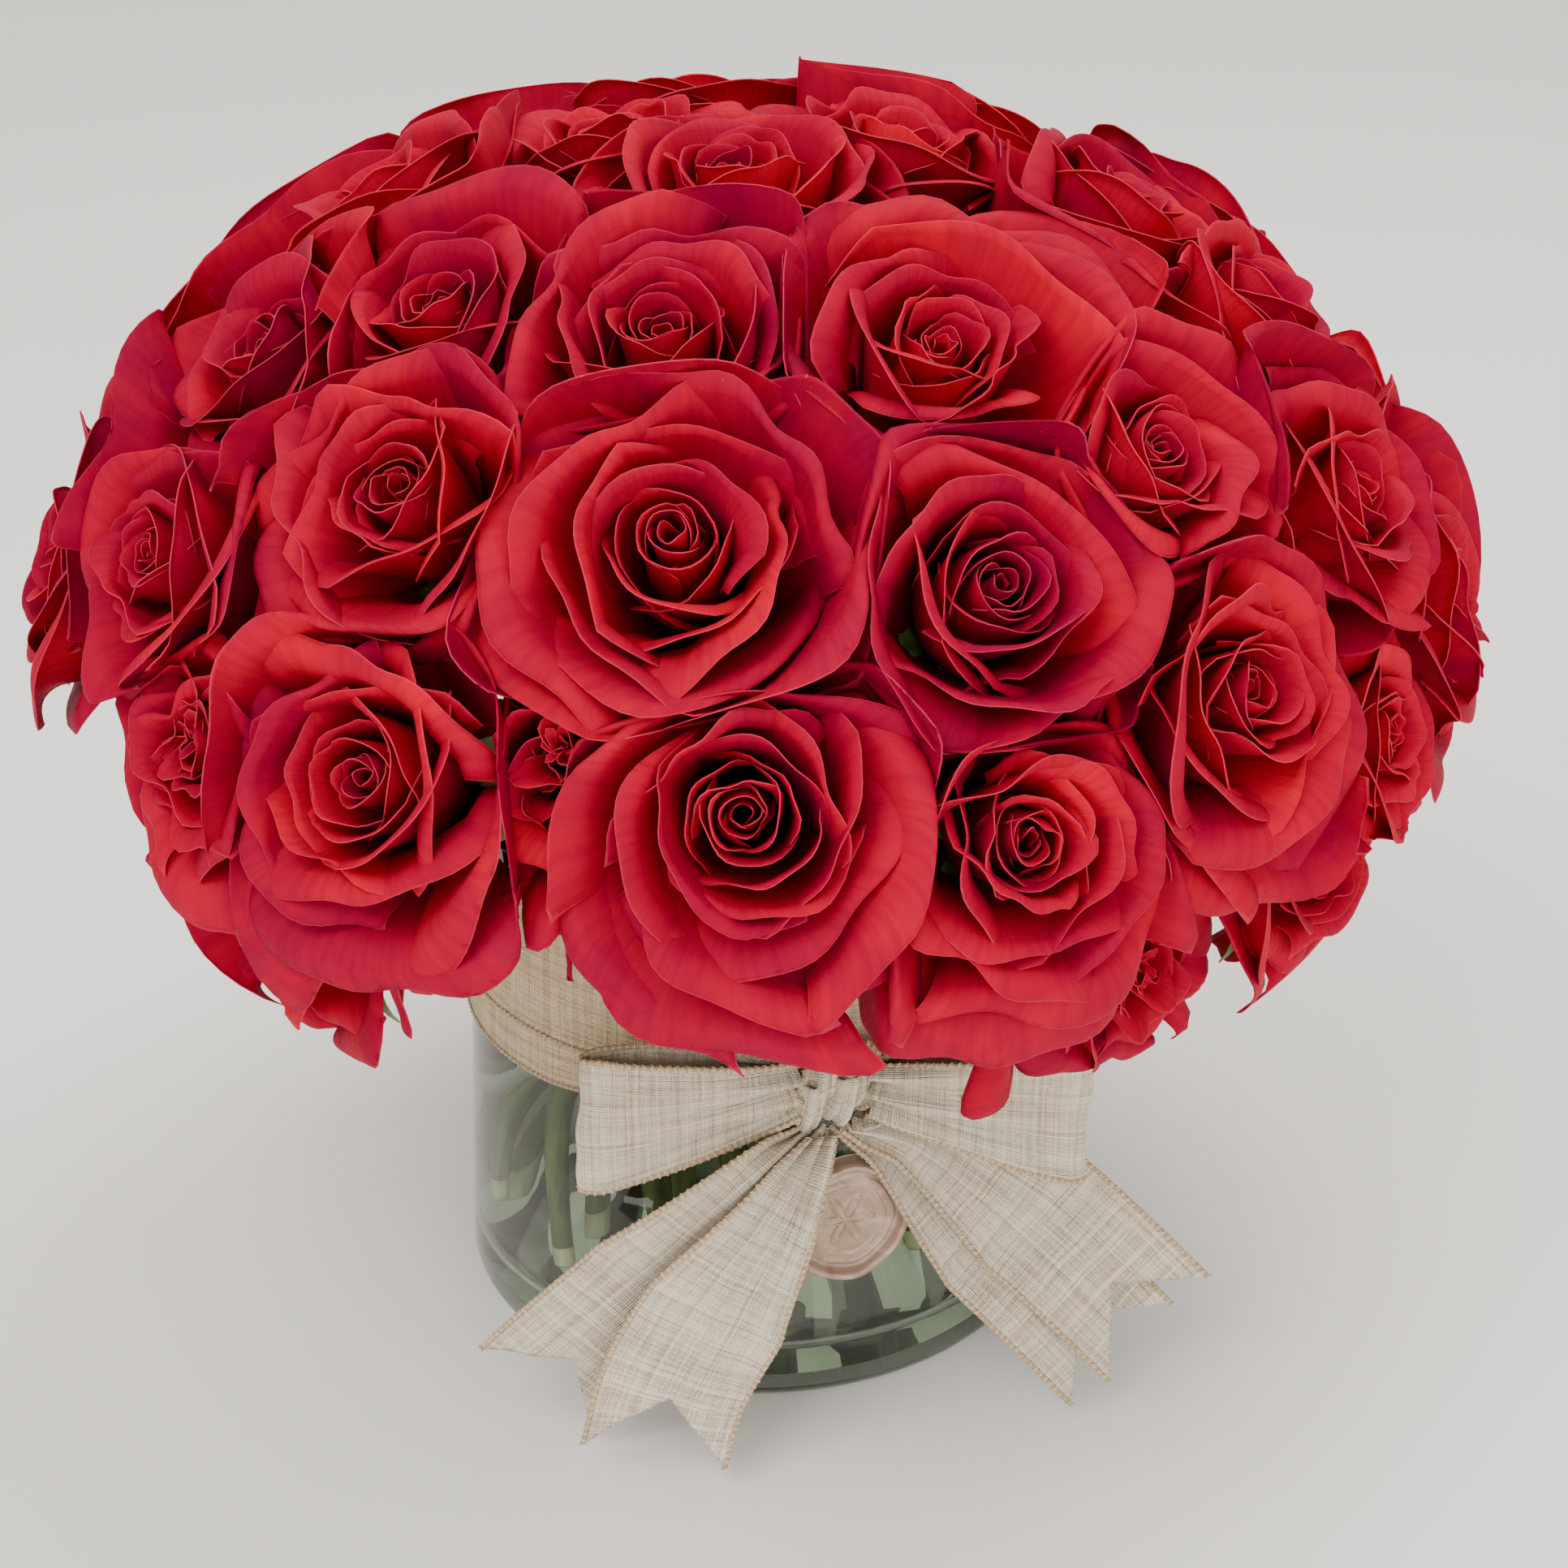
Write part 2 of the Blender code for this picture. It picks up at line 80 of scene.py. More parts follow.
ROSES = [
    # crown
    (12, -93, 72, 0), (9, -7, 80, 0), (12, 92, 74, 0),
    # high ring
    (24, -162, 84, 0), (31, -95, 78, 0), (34, -44, 74, 0), (33, -12, 82, 0), (35, 24, 84, 0),
    (30, 90, 80, 0), (28, 143, 84, 0),
    # shoulder ring
    (48, -179, 90, 0), (46, -146, 90, 0), (51, -114, 90, 0), (43, -63, 74, 0), (59, -56, 64, 0),
    (49, -33, 80, 0), (50, -6, 100, 0), (54, 20, 84, 0), (48, 40, 68, 0), (56, 62, 70, 0), (42, 79, 68, 0),
    (46, 117, 90, 0), (52, 149, 90, 0),
    # wide ring
    (70, -167, 88, 0), (70, -141, 88, 0), (75, -112, 88, 0), (66, -80, 78, 0), (70, -46, 62, 3),
    (68, -29, 82, 0), (65, -14, 54, 12), (68, 0, 92, 0), (71, 20, 78, 0), (65, 40, 78, 0), (73, 59, 58, 4),
    (69, 79, 82, 0), (68, 104, 88, 0), (68, 129, 88, 0), (70, 167, 88, 0),
    # hanging ring
    (88, -161, 78, 8), (88, -133, 78, 8), (88, -104, 78, 8), (88, -76, 78, 8), (88, -47, 54, 16),
    (91, 42, 54, 18), (83, 56, 58, 8), (88, 85, 78, 8), (88, 113, 78, 8), (88, 142, 78, 8),
    (88, 170, 78, 8),
]  # fmt: skip


def vase_radius(height):
    """Outer radius of the vase's wall at a height."""
    return VASE_FOOT_RADIUS + (VASE_MOUTH_RADIUS - VASE_FOOT_RADIUS) * height / VASE_HEIGHT


print(len(ROSES), "roses")

# %% [markdown]
# Every piece is put in the scene the same way, and every finished piece rides on the one body. These few
# lines do that for all of them.


# %% Short ways to put a piece in the scene
def put(name, data):
    """A new object in the scene."""
    made = bpy.data.objects.new(name, data)
    bpy.context.scene.collection.objects.link(made)
    return made


def from_faces(name, shape, surface):
    """A smooth object from faces drawn one by one."""
    mesh = bpy.data.meshes.new(name)
    shape.to_mesh(mesh)
    shape.free()
    mesh.polygons.foreach_set("use_smooth", [True] * len(mesh.polygons))
    mesh.materials.append(surface)
    return put(name, mesh)


def settle(made, slot, *stands_for):
    """The piece rides on the body and may stand for a plain solid. The slot is not used."""
    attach(made, "root")
    if stands_for:
        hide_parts(*stands_for)
    return made


def run_length(line):
    """How far along a line each of its points is."""
    steps = np.linalg.norm(np.diff(line, axis=0), axis=1)
    return np.concatenate([[0], np.cumsum(steps)])


def unit(rows):
    return rows / np.linalg.norm(rows, axis=-1, keepdims=True)

# %% [markdown]
# ## Clay
# Petals, stems and leaves are all thin or slim closed shapes laid over a grid of points. The small class
# below collects them, with the numbers that the finishes read: where a point is on its petal, how near the
# rim it is, and how far out the petal grew. A rose then becomes one mesh.


# %% A collector for closed shapes
def grid_normals(points):
    """Unit normals of a grid of points (across, along, 3)."""
    across = np.gradient(points, axis=0)
    along = np.gradient(points, axis=1)
    normal = np.cross(across, along)
    return normal / np.maximum(np.linalg.norm(normal, axis=2, keepdims=True), 1e-12)


def grid_faces(rows, columns):
    """Quads of a grid whose points are numbered row by row."""
    a = (np.arange(rows - 1)[:, None] * columns + np.arange(columns - 1)[None, :]).ravel()
    return np.stack([a, a + columns, a + columns + 1, a + 1], axis=1)


class Clay:
    """Closed shapes gathered into one mesh, with a UV place and a few painted numbers at every point."""

    PAINTS = ("rim", "layer", "tone", "worn")

    def __init__(self):
        self.points, self.faces, self.places, self.paints, self.finish = [], [], [], [], []
        self.count = 0

    def add(self, points, faces, places, paints, finish):
        self.points.append(points)
        self.faces.append(faces + self.count)
        self.places.append(places)
        self.paints.append(np.stack([np.broadcast_to(p, len(points)) for p in paints], axis=1))
        self.finish.append(np.full(len(faces), finish))
        self.count += len(points)

    def shell(self, points, thickness, places, paints, finish):
        """A thin closed sheet over a grid of points (across, along, 3)."""
        rows, columns = points.shape[:2]
        size = rows * columns
        normals = grid_normals(points)
        both = np.concatenate([points.reshape(-1, 3), (points - normals * thickness).reshape(-1, 3)])
        front = grid_faces(rows, columns)
        ring = np.concatenate(
            [
                np.arange(columns),
                np.arange(1, rows) * columns + columns - 1,
                (rows - 1) * columns + np.arange(columns - 2, -1, -1),
                np.arange(rows - 2, 0, -1) * columns,
            ]
        )
        after = np.roll(ring, -1)
        edge = np.stack([ring, after, after + size, ring + size], axis=1)
        faces = np.concatenate([front, front[:, ::-1] + size, edge])
        twice = [np.tile(np.broadcast_to(p, (rows, columns)).ravel(), 2) for p in paints]
        self.add(both, faces, np.tile(places.reshape(-1, 2), (2, 1)), twice, finish)

    def tube(self, line, radii, sides, finish, tone=0.5):
        """A closed round rod along a line of points, with a flat fan over each end."""
        line = np.asarray(line, float)
        run = unit(np.gradient(line, axis=0))
        side = np.cross(run[0], (0.31, 0.95, 0.07))  # any direction that no line here follows
        turn = np.linspace(0, 2 * math.pi, sides, endpoint=False)[:, None]
        rings = []
        for place, along, radius in zip(line, run, radii):
            side = side - along * side.dot(along)
            side /= np.linalg.norm(side)
            other = np.cross(along, side)
            rings.append(place + radius * (np.cos(turn) * side + np.sin(turn) * other))
        points = np.concatenate([line[:1], *rings, line[-1:]])
        steps = len(line)
        j = np.arange(sides)
        after = (j + 1) % sides
        faces = []
        for i in range(steps - 1):
            a, b = 1 + i * sides, 1 + (i + 1) * sides
            faces.append(np.stack([a + j, a + after, b + after, b + j], axis=1))
        low, high = 1, 1 + (steps - 1) * sides
        first, last = 0 * j, 0 * j + len(points) - 1
        start = np.stack([low + after, low + j, first, first], axis=1)
        end = np.stack([high + j, high + after, last, last], axis=1)
        length = run_length(line)
        places = np.zeros((len(points), 2))
        places[1:-1, 0] = np.tile(j / sides, steps)
        places[1:-1, 1] = np.repeat(length, sides)
        places[-1, 1] = length[-1]
        share = np.concatenate([[0], np.repeat(length / length[-1], sides), [1]])
        self.add(points, np.concatenate([*faces, start, end]), places, (share, 0, tone, 0), finish)

    def mesh(self, name, surfaces):
        """Everything gathered so far as one smooth mesh object."""
        points = np.concatenate(self.points)
        faces = np.concatenate(self.faces)
        finish = np.concatenate(self.finish)
        places = np.concatenate(self.places)
        paints = np.concatenate(self.paints)
        keep = np.ones(faces.shape, bool)
        keep[:, 3] = faces[:, 2] != faces[:, 3]
        sizes = keep.sum(axis=1)
        corners = faces[keep]
        mesh = bpy.data.meshes.new(name)
        mesh.vertices.add(len(points))
        mesh.vertices.foreach_set("co", points.ravel())
        mesh.loops.add(len(corners))
        mesh.loops.foreach_set("vertex_index", corners)
        mesh.polygons.add(len(faces))
        mesh.polygons.foreach_set("loop_start", np.concatenate([[0], np.cumsum(sizes)[:-1]]))
        mesh.polygons.foreach_set("material_index", finish)
        mesh.update(calc_edges=True)
        mesh.polygons.foreach_set("use_smooth", np.ones(len(faces), bool))
        mesh.uv_layers.new(name="UVMap").data.foreach_set("uv", places[corners].ravel())
        for i, paint in enumerate(self.PAINTS):
            mesh.attributes.new(paint, "FLOAT", "POINT").data.foreach_set("value", paints[:, i].copy())
        for surface in surfaces:
            mesh.materials.append(surface)
        mesh.validate()
        return put(name, mesh)


# %% [markdown]
# ## Camera, light and floor
# The camera looks down a little at the bouquet. Three broad soft lamps and a pale room light give the petals
# their rounded look, and a plain pale floor catches the shadow.


# %% Camera, light and floor
def make_camera():
    lens = bpy.data.cameras.new("camera")
    lens.lens = 72
    lens.sensor_width = 36
    lens.clip_start, lens.clip_end = 0.05, 20
    camera = put("camera", lens)
    camera.location = (0.008, -0.817, 0.545)
    camera.rotation_euler = (math.radians(64.5), 0, 0)
    bpy.context.scene.camera = camera


def make_lamp(name, place, target, size, power, colour):
    lamp = bpy.data.lights.new(name, "AREA")
    lamp.shape = "RECTANGLE"
    lamp.size, lamp.size_y = size
    lamp.energy = power
    lamp.color = colour
    made = put(name, lamp)
    made.location = place
    made.rotation_euler = (Vector(target) - Vector(place)).to_track_quat("-Z", "Y").to_euler()


def make_room():
    world = bpy.data.worlds.new("room")
    world.use_nodes = True
    sky = world.node_tree.nodes["Background"].inputs
    sky["Color"].default_value = (0.95, 0.93, 0.9, 1)
    sky["Strength"].default_value = 0.95
    bpy.context.scene.world = world
    middle = (0, 0, 0.2)
    make_lamp("window", (-0.9, -1.3, 1.9), middle, (1.6, 1.2), 44, (1, 0.97, 0.93))
    make_lamp("ceiling", (0.5, 0.6, 1.9), middle, (1.2, 1.2), 28, (1, 0.98, 0.96))
    make_lamp("fill", (0.5, -1.7, 0.5), (0, 0, 0.1), (1.2, 0.8), 16, (1, 0.96, 0.92))


def make_floor():
    """A plain floor that curves up into a backdrop far behind."""
    far, bend, half = 2.2, 1.2, 6
    turns = np.radians(range(9, 91, 9))
    curve = [(far + bend * math.sin(a), bend - bend * math.cos(a)) for a in turns]
    line = [(-half, 0), (far, 0), *curve, (3.4, 5)]
    floor = bmesh.new()
    ends = [[floor.verts.new((x, y, z)) for y, z in line] for x in (-half, half)]
    for i in range(len(line) - 1):
        floor.faces.new((ends[0][i], ends[1][i], ends[1][i + 1], ends[0][i + 1]))
    paint = bpy.data.materials.new("pale_floor")
    paint.use_nodes = True
    shader = paint.node_tree.nodes["Principled BSDF"].inputs
    shader["Base Color"].default_value = (0.9, 0.88, 0.84, 1)
    shader["Roughness"].default_value = 0.6
    from_faces("floor", floor, paint)


make_camera()
make_room()
make_floor()

# %% [markdown]
# ## Finishes
# A finish is a small tree of nodes. `Paint` below wires one up: it makes a node, sets its sockets and links
# its inputs in a line, so that a finish reads from the pattern to the surface.


# %% A helper that wires a finish
class Paint:
    """A material and short ways to add and join its nodes."""

    def __init__(self, name, **sockets):
        self.material = bpy.data.materials.new(name)
        self.material.use_nodes = True
        self.tree = self.material.node_tree
        self.shader = self.tree.nodes["Principled BSDF"]
        for socket, value in sockets.items():
            self.shader.inputs[socket.replace("_", " ")].default_value = value

    def node(self, kind, settings=None, **inputs):
        made = self.tree.nodes.new("ShaderNode" + kind)
        for name, value in (settings or {}).items():
            setattr(made, name, value)
        for name, value in inputs.items():
            self.join(made, name.replace("_", " "), value)
        return made

    def join(self, node, name, value):
        socket = node.inputs[int(name[1:]) if name[0] == "i" and name[1:].isdigit() else name]
        if isinstance(value, bpy.types.Node):
            value = value.outputs[0]
        if isinstance(value, bpy.types.NodeSocket):
            self.tree.links.new(value, socket)
        else:
            socket.default_value = value

    def number(self, attribute):
        """A number painted on the mesh."""
        return self.node("Attribute", {"attribute_name": attribute}).outputs["Fac"]

    def sum(self, operation, *values):
        return self.node("Math", {"operation": operation}, **{f"i{i}": v for i, v in enumerate(values)})

    def ramp(self, value, *stops):
        """A soft ramp through (place, colour) stops; a plain number stands for a grey."""
        made = self.node("ValToRGB", Fac=value)
        ramp = made.color_ramp
        while len(ramp.elements) < len(stops):
            ramp.elements.new(0.5)
        for element, (place, colour) in zip(ramp.elements, stops):
            element.position = place
            element.color = (colour,) * 3 + (1,) if isinstance(colour, (int, float)) else (*colour, 1)
        return made

    def mix(self, share, one, other, blend="MIX"):
        made = self.node("Mix", {"data_type": "RGBA", "blend_type": blend})
        self.join(made, "i0", share)
        for index, value in ((6, one), (7, other)):
            if isinstance(value, tuple):
                value = (*value, 1)
            self.join(made, f"i{index}", value)
        return made.outputs[2]

    def where(self, scale, source="Object"):
        """Places on the piece, stretched by a scale."""
        coordinates = self.node("TexCoord").outputs[source]
        return self.node("Mapping", Vector=coordinates, Scale=scale)

    def noise(self, scale, size=1.0, detail=3.0, source="Object", **more):
        return self.node("TexNoise", Vector=self.where(scale, source), Scale=size, Detail=detail, **more)

    def surface(self, **sockets):
        for name, value in sockets.items():
            self.join(self.shader, name.replace("_", " "), value)
        return self.material

    def bump(self, height, distance, strength=1.0, below=None):
        made = self.node("Bump", Height=height, Distance=distance, Strength=strength)
        if below is not None:
            self.join(made, "Normal", below)
        return made


print("finish helper ready")

# %% [markdown]
# ## Petals' finish
# A red rose petal is velvet: matt, with a pink sheen where light grazes it, blood red on its crests and
# crimson on its sides. A painted highlight runs along its rim as a pale pink line, and painted shade darkens
# its foot deep in the bloom. The outermost petals are bruised towards maroon. Fine veins fan up each petal;
# they follow its own UV places.


# %% Petal velvet
def petal_velvet():
    glow = {"Subsurface_Weight": 0.12, "Subsurface_Radius": (0.004, 0.0006, 0.0008), "Subsurface_Scale": 0.6}
    nap = {"Sheen_Weight": 0.02, "Sheen_Roughness": 0.35, "Sheen_Tint": (1, 0.12, 0.3, 1)}
    paint = Paint("petal_velvet", Roughness=0.62, IOR=1.4, Specular_IOR_Level=0.05, **nap, **glow)
    rim, layer, tone, worn = (paint.number(name) for name in Clay.PAINTS)
    clouds = paint.noise((1, 1, 1), 38, 3)
    body = paint.ramp(
        paint.sum("ADD", paint.sum("MULTIPLY", clouds, 0.6), paint.sum("MULTIPLY", tone, 0.4)),
        (0.25, (0.21, 0.0, 0.026)),
        (0.5, (0.37, 0.0, 0.022)),
        (0.75, (0.58, 0.0, 0.018)),
    )
    # Painted shade: each petal is mixed towards a very dark red from halfway down to its foot, deep in the
    # bloom.
    foot_painted_shade = paint.mix(paint.ramp(rim, (0.0, 1), (0.5, 0)), body, (0.12, 0.0, 0.01))
    mottle = paint.noise((1, 1, 1), 140, 4)
    spread = paint.sum("MULTIPLY", worn, paint.ramp(mottle, (0.38, 0.35), (0.62, 1)))
    bruised = paint.mix(spread, foot_painted_shade, (0.16, 0.006, 0.035))
    veins = paint.noise((13, 1.1, 1), 1.6, 3, "UV")
    lined = paint.mix(paint.ramp(veins, (0.35, 0.22), (0.6, 0)), bruised, (0.14, 0.0, 0.02))
    # Painted highlight: a pale pink line along the last sliver of each rim.
    lip = paint.ramp(rim, (0.985, 0), (1.0, 0.3))
    rim_painted_highlight = paint.mix(lip, lined, (0.8, 0.06, 0.12))
    specks = paint.noise((1, 1, 1), 300, 2)
    at_rim = paint.sum("MULTIPLY", paint.ramp(rim, (0.9, 0), (0.99, 1)), worn)
    nicks = paint.sum("MULTIPLY", paint.ramp(specks, (0.6, 0), (0.66, 1)), at_rim)
    finished = paint.mix(nicks, rim_painted_highlight, (0.025, 0.0, 0.008))
    grain = paint.noise((1, 1, 1), 900, 2)
    fine = paint.bump(grain, 0.0002, 0.3)
    ribbed = paint.bump(veins, 0.0004, 0.45, fine)
    rough = paint.ramp(grain, (0.3, 0.5), (0.7, 0.72))
    return paint.surface(Base_Color=finished, Roughness=rough, Normal=ribbed)


def rose_green(name, dark, pale):
    """Stems, hips and sepals: fresh green with darker streaks and a waxy surface."""
    paint = Paint(name, Roughness=0.45)
    streaks = paint.noise((1, 1, 0.12), 420, 3)
    colour = paint.ramp(streaks, (0.3, dark), (0.7, pale))
    rough = paint.ramp(streaks, (0.3, 0.35), (0.7, 0.55))
    return paint.surface(Base_Color=colour, Roughness=rough, Normal=paint.bump(streaks, 0.0003, 0.5))


velvet = petal_velvet()
stem_green = rose_green("stem_green", (0.055, 0.1, 0.018), (0.19, 0.24, 0.06))
cut_end = rose_green("cut_end", (0.3, 0.36, 0.16), (0.5, 0.52, 0.3))
print("rose finishes ready")

# %% [markdown]
# ## Where each rose grows
# The same rule as in the plain model gives every rose its face on the dome, the axis that it looks along,
# the hip under the bloom and the stem's path through the mouth of the vase into the water.


# %% Rose places
def dome_radius(polar):
    """How far the dome is from the middle of the vase's mouth, at an angle from straight up."""
    wide, high = np.sin(polar) / DOME_HALF_WIDTH, np.cos(polar) / DOME_HALF_HEIGHT
    lift = DOME_MIDDLE / DOME_HALF_HEIGHT
    square, mixed = wide**2 + high**2, high * lift
    return (mixed + np.sqrt(mixed**2 + square * (1 - lift**2))) / square


def on_dome(polar, azimuth, tuck):
    """A bloom's face: angle from straight up, angle from the front, and how far under the dome it is."""
    radius = float(dome_radius(polar)) - tuck
    flat, up = radius * math.sin(polar), VASE_HEIGHT + radius * math.cos(polar)
    return Vector((flat * math.sin(azimuth), -flat * math.cos(azimuth), up))


LOWEST_POLAR = math.radians(91)  # the stem of the lowest rose leans on the wall of the vase
CRUMPLED = (28, 30, 43, 44)  # tired roses pressed between their neighbours
OPEN_ROSE = 17  # the widest, with bruised outer petals and a few drops of dew
FRONT_ROSE = 31  # one long petal hangs from it over the bow


class Rose:
    """Where one rose stands: its bloom on the dome, its stem through the mouth, its cut tip in the water."""

    def __init__(self, number, polar, azimuth, width, tuck, tip_lift):
        self.name = f"rose_{number:02d}"
        self.polar, self.azimuth = math.radians(polar), math.radians(azimuth)
        self.width = width * MM
        self.depth = self.width * 0.6
        self.face = on_dome(self.polar, self.azimuth, tuck * MM)
        self.axis = (self.face - Vector((0, 0, VASE_HEIGHT - BLOOM_FAN_DROP))).normalized()
        self.base = self.face - self.axis * self.depth
        self.tip_lift = tip_lift
        self.dice = np.random.default_rng(900 + number)
        self.chirality = 1 if self.dice.random() < 0.5 else -1
        self.tone = self.dice.uniform(0.3, 0.7)
        self.age = self.dice.uniform(0.2, 0.8) + 0.5 * (number == OPEN_ROSE)
        self.spread = 1.16 if number == FRONT_ROSE else 1.33
        self.wild = 1.0 if number in CRUMPLED else self.dice.uniform(0, 0.3)
        self.angular = self.dice.uniform(0.3, 0.6)
        self.rank = width - 2 * tuck + self.dice.uniform(0, 3)
        spin = Matrix.Rotation(self.dice.uniform(0, 2 * math.pi), 3, "Z")
        self.turn = np.array(self.axis.to_track_quat("Z", "Y").to_matrix() @ spin)

    def lip_middle(self):
        return np.array(self.base + self.axis * self.depth * 0.87)

    def stem_line(self, steps=12):
        """Points of the stem's middle line, from its cut tip up to the hip."""
        inside = VASE_MOUTH_RADIUS - VASE_WALL - STEM_WALL_GAP - STEM_DIAMETER / 2
        spread = inside * self.polar / LOWEST_POLAR
        top = Vector((spread * math.sin(self.azimuth), -spread * math.cos(self.azimuth), 0))
        top.z = VASE_HEIGHT - STEM_BEND_DEPTH
        swept = self.azimuth + STEM_TWIST
        tip = Vector((spread * math.sin(swept), -spread * math.cos(swept), 0))
        tip.z = VASE_FLOOR + 5 * MM + self.tip_lift
        along = (top - tip).normalized()
        pull = (self.base - top).length
        a, b = top, top + along * pull * 0.5
        c = self.base - self.axis * pull * 0.4 + Vector((0, 0, RIM_LIFT * math.sin(self.polar) ** 2))
        line = [tip.lerp(top, i / 5) for i in range(5)]
        for i in range(steps + 1):
            t = i / steps
            s = 1 - t
            line.append(a * s**3 + b * 3 * t * s * s + c * 3 * t * t * s + self.base * t**3)
        return line


tips = random.Random(7)
roses = [Rose(i + 1, *spot, tips.random() * 18 * MM) for i, spot in enumerate(ROSES)]
print("first rose faces", tuple(round(x, 3) for x in roses[0].axis))

# %% [markdown]
# ## One petal
# A petal rises from the hip along a curve, spreads, and rolls back at its rim. Petals in the heart of the
# bloom stand upright and wrap round it; further out they lean, open and roll more. The sides of a rim roll
# tighter than its middle, which gives a rose petal its pointed corner. All of that is a rule in one number,
# how far out the petal grew, so the numbers below are read off short tables between the heart (0) and the
# outermost petal (1).


# %% Petal shape
HEART_TO_EDGE = (0, 0.2, 0.45, 0.7, 0.85, 1)
PETAL_REACH = (0.04, 0.12, 0.3, 0.58, 0.8, 1)  # how far out the rim comes, of the bloom's radius
PETAL_RISE = (0.9, 0.95, 0.98, 0.94, 0.84, 0.68)  # height of the rim, of the bloom's depth
PETAL_START = (80, 75, 62, 40, 22, 12)  # angle at the hip, degrees up from flat
PETAL_LEAN = (98, 90, 80, 62, 42, 22)  # angle just under the rim
ROLL_RADIUS = (1.4, 2.2, 3.4, 5.0, 6.5, 7.5)  # of the rolled rim, millimetres
ROLL_TURN = (20, 40, 70, 95, 112, 120)  # how far it rolls, degrees
PETAL_HALF_WIDTH = (150, 120, 88, 74, 66, 60)  # degrees round the bloom
PETAL_WAVE = (0.15, 0.35, 0.9, 1.6, 2.2, 2.6)  # ruffles at the rim, millimetres


def table(column, share):
    return float(np.interp(share, HEART_TO_EDGE, column))


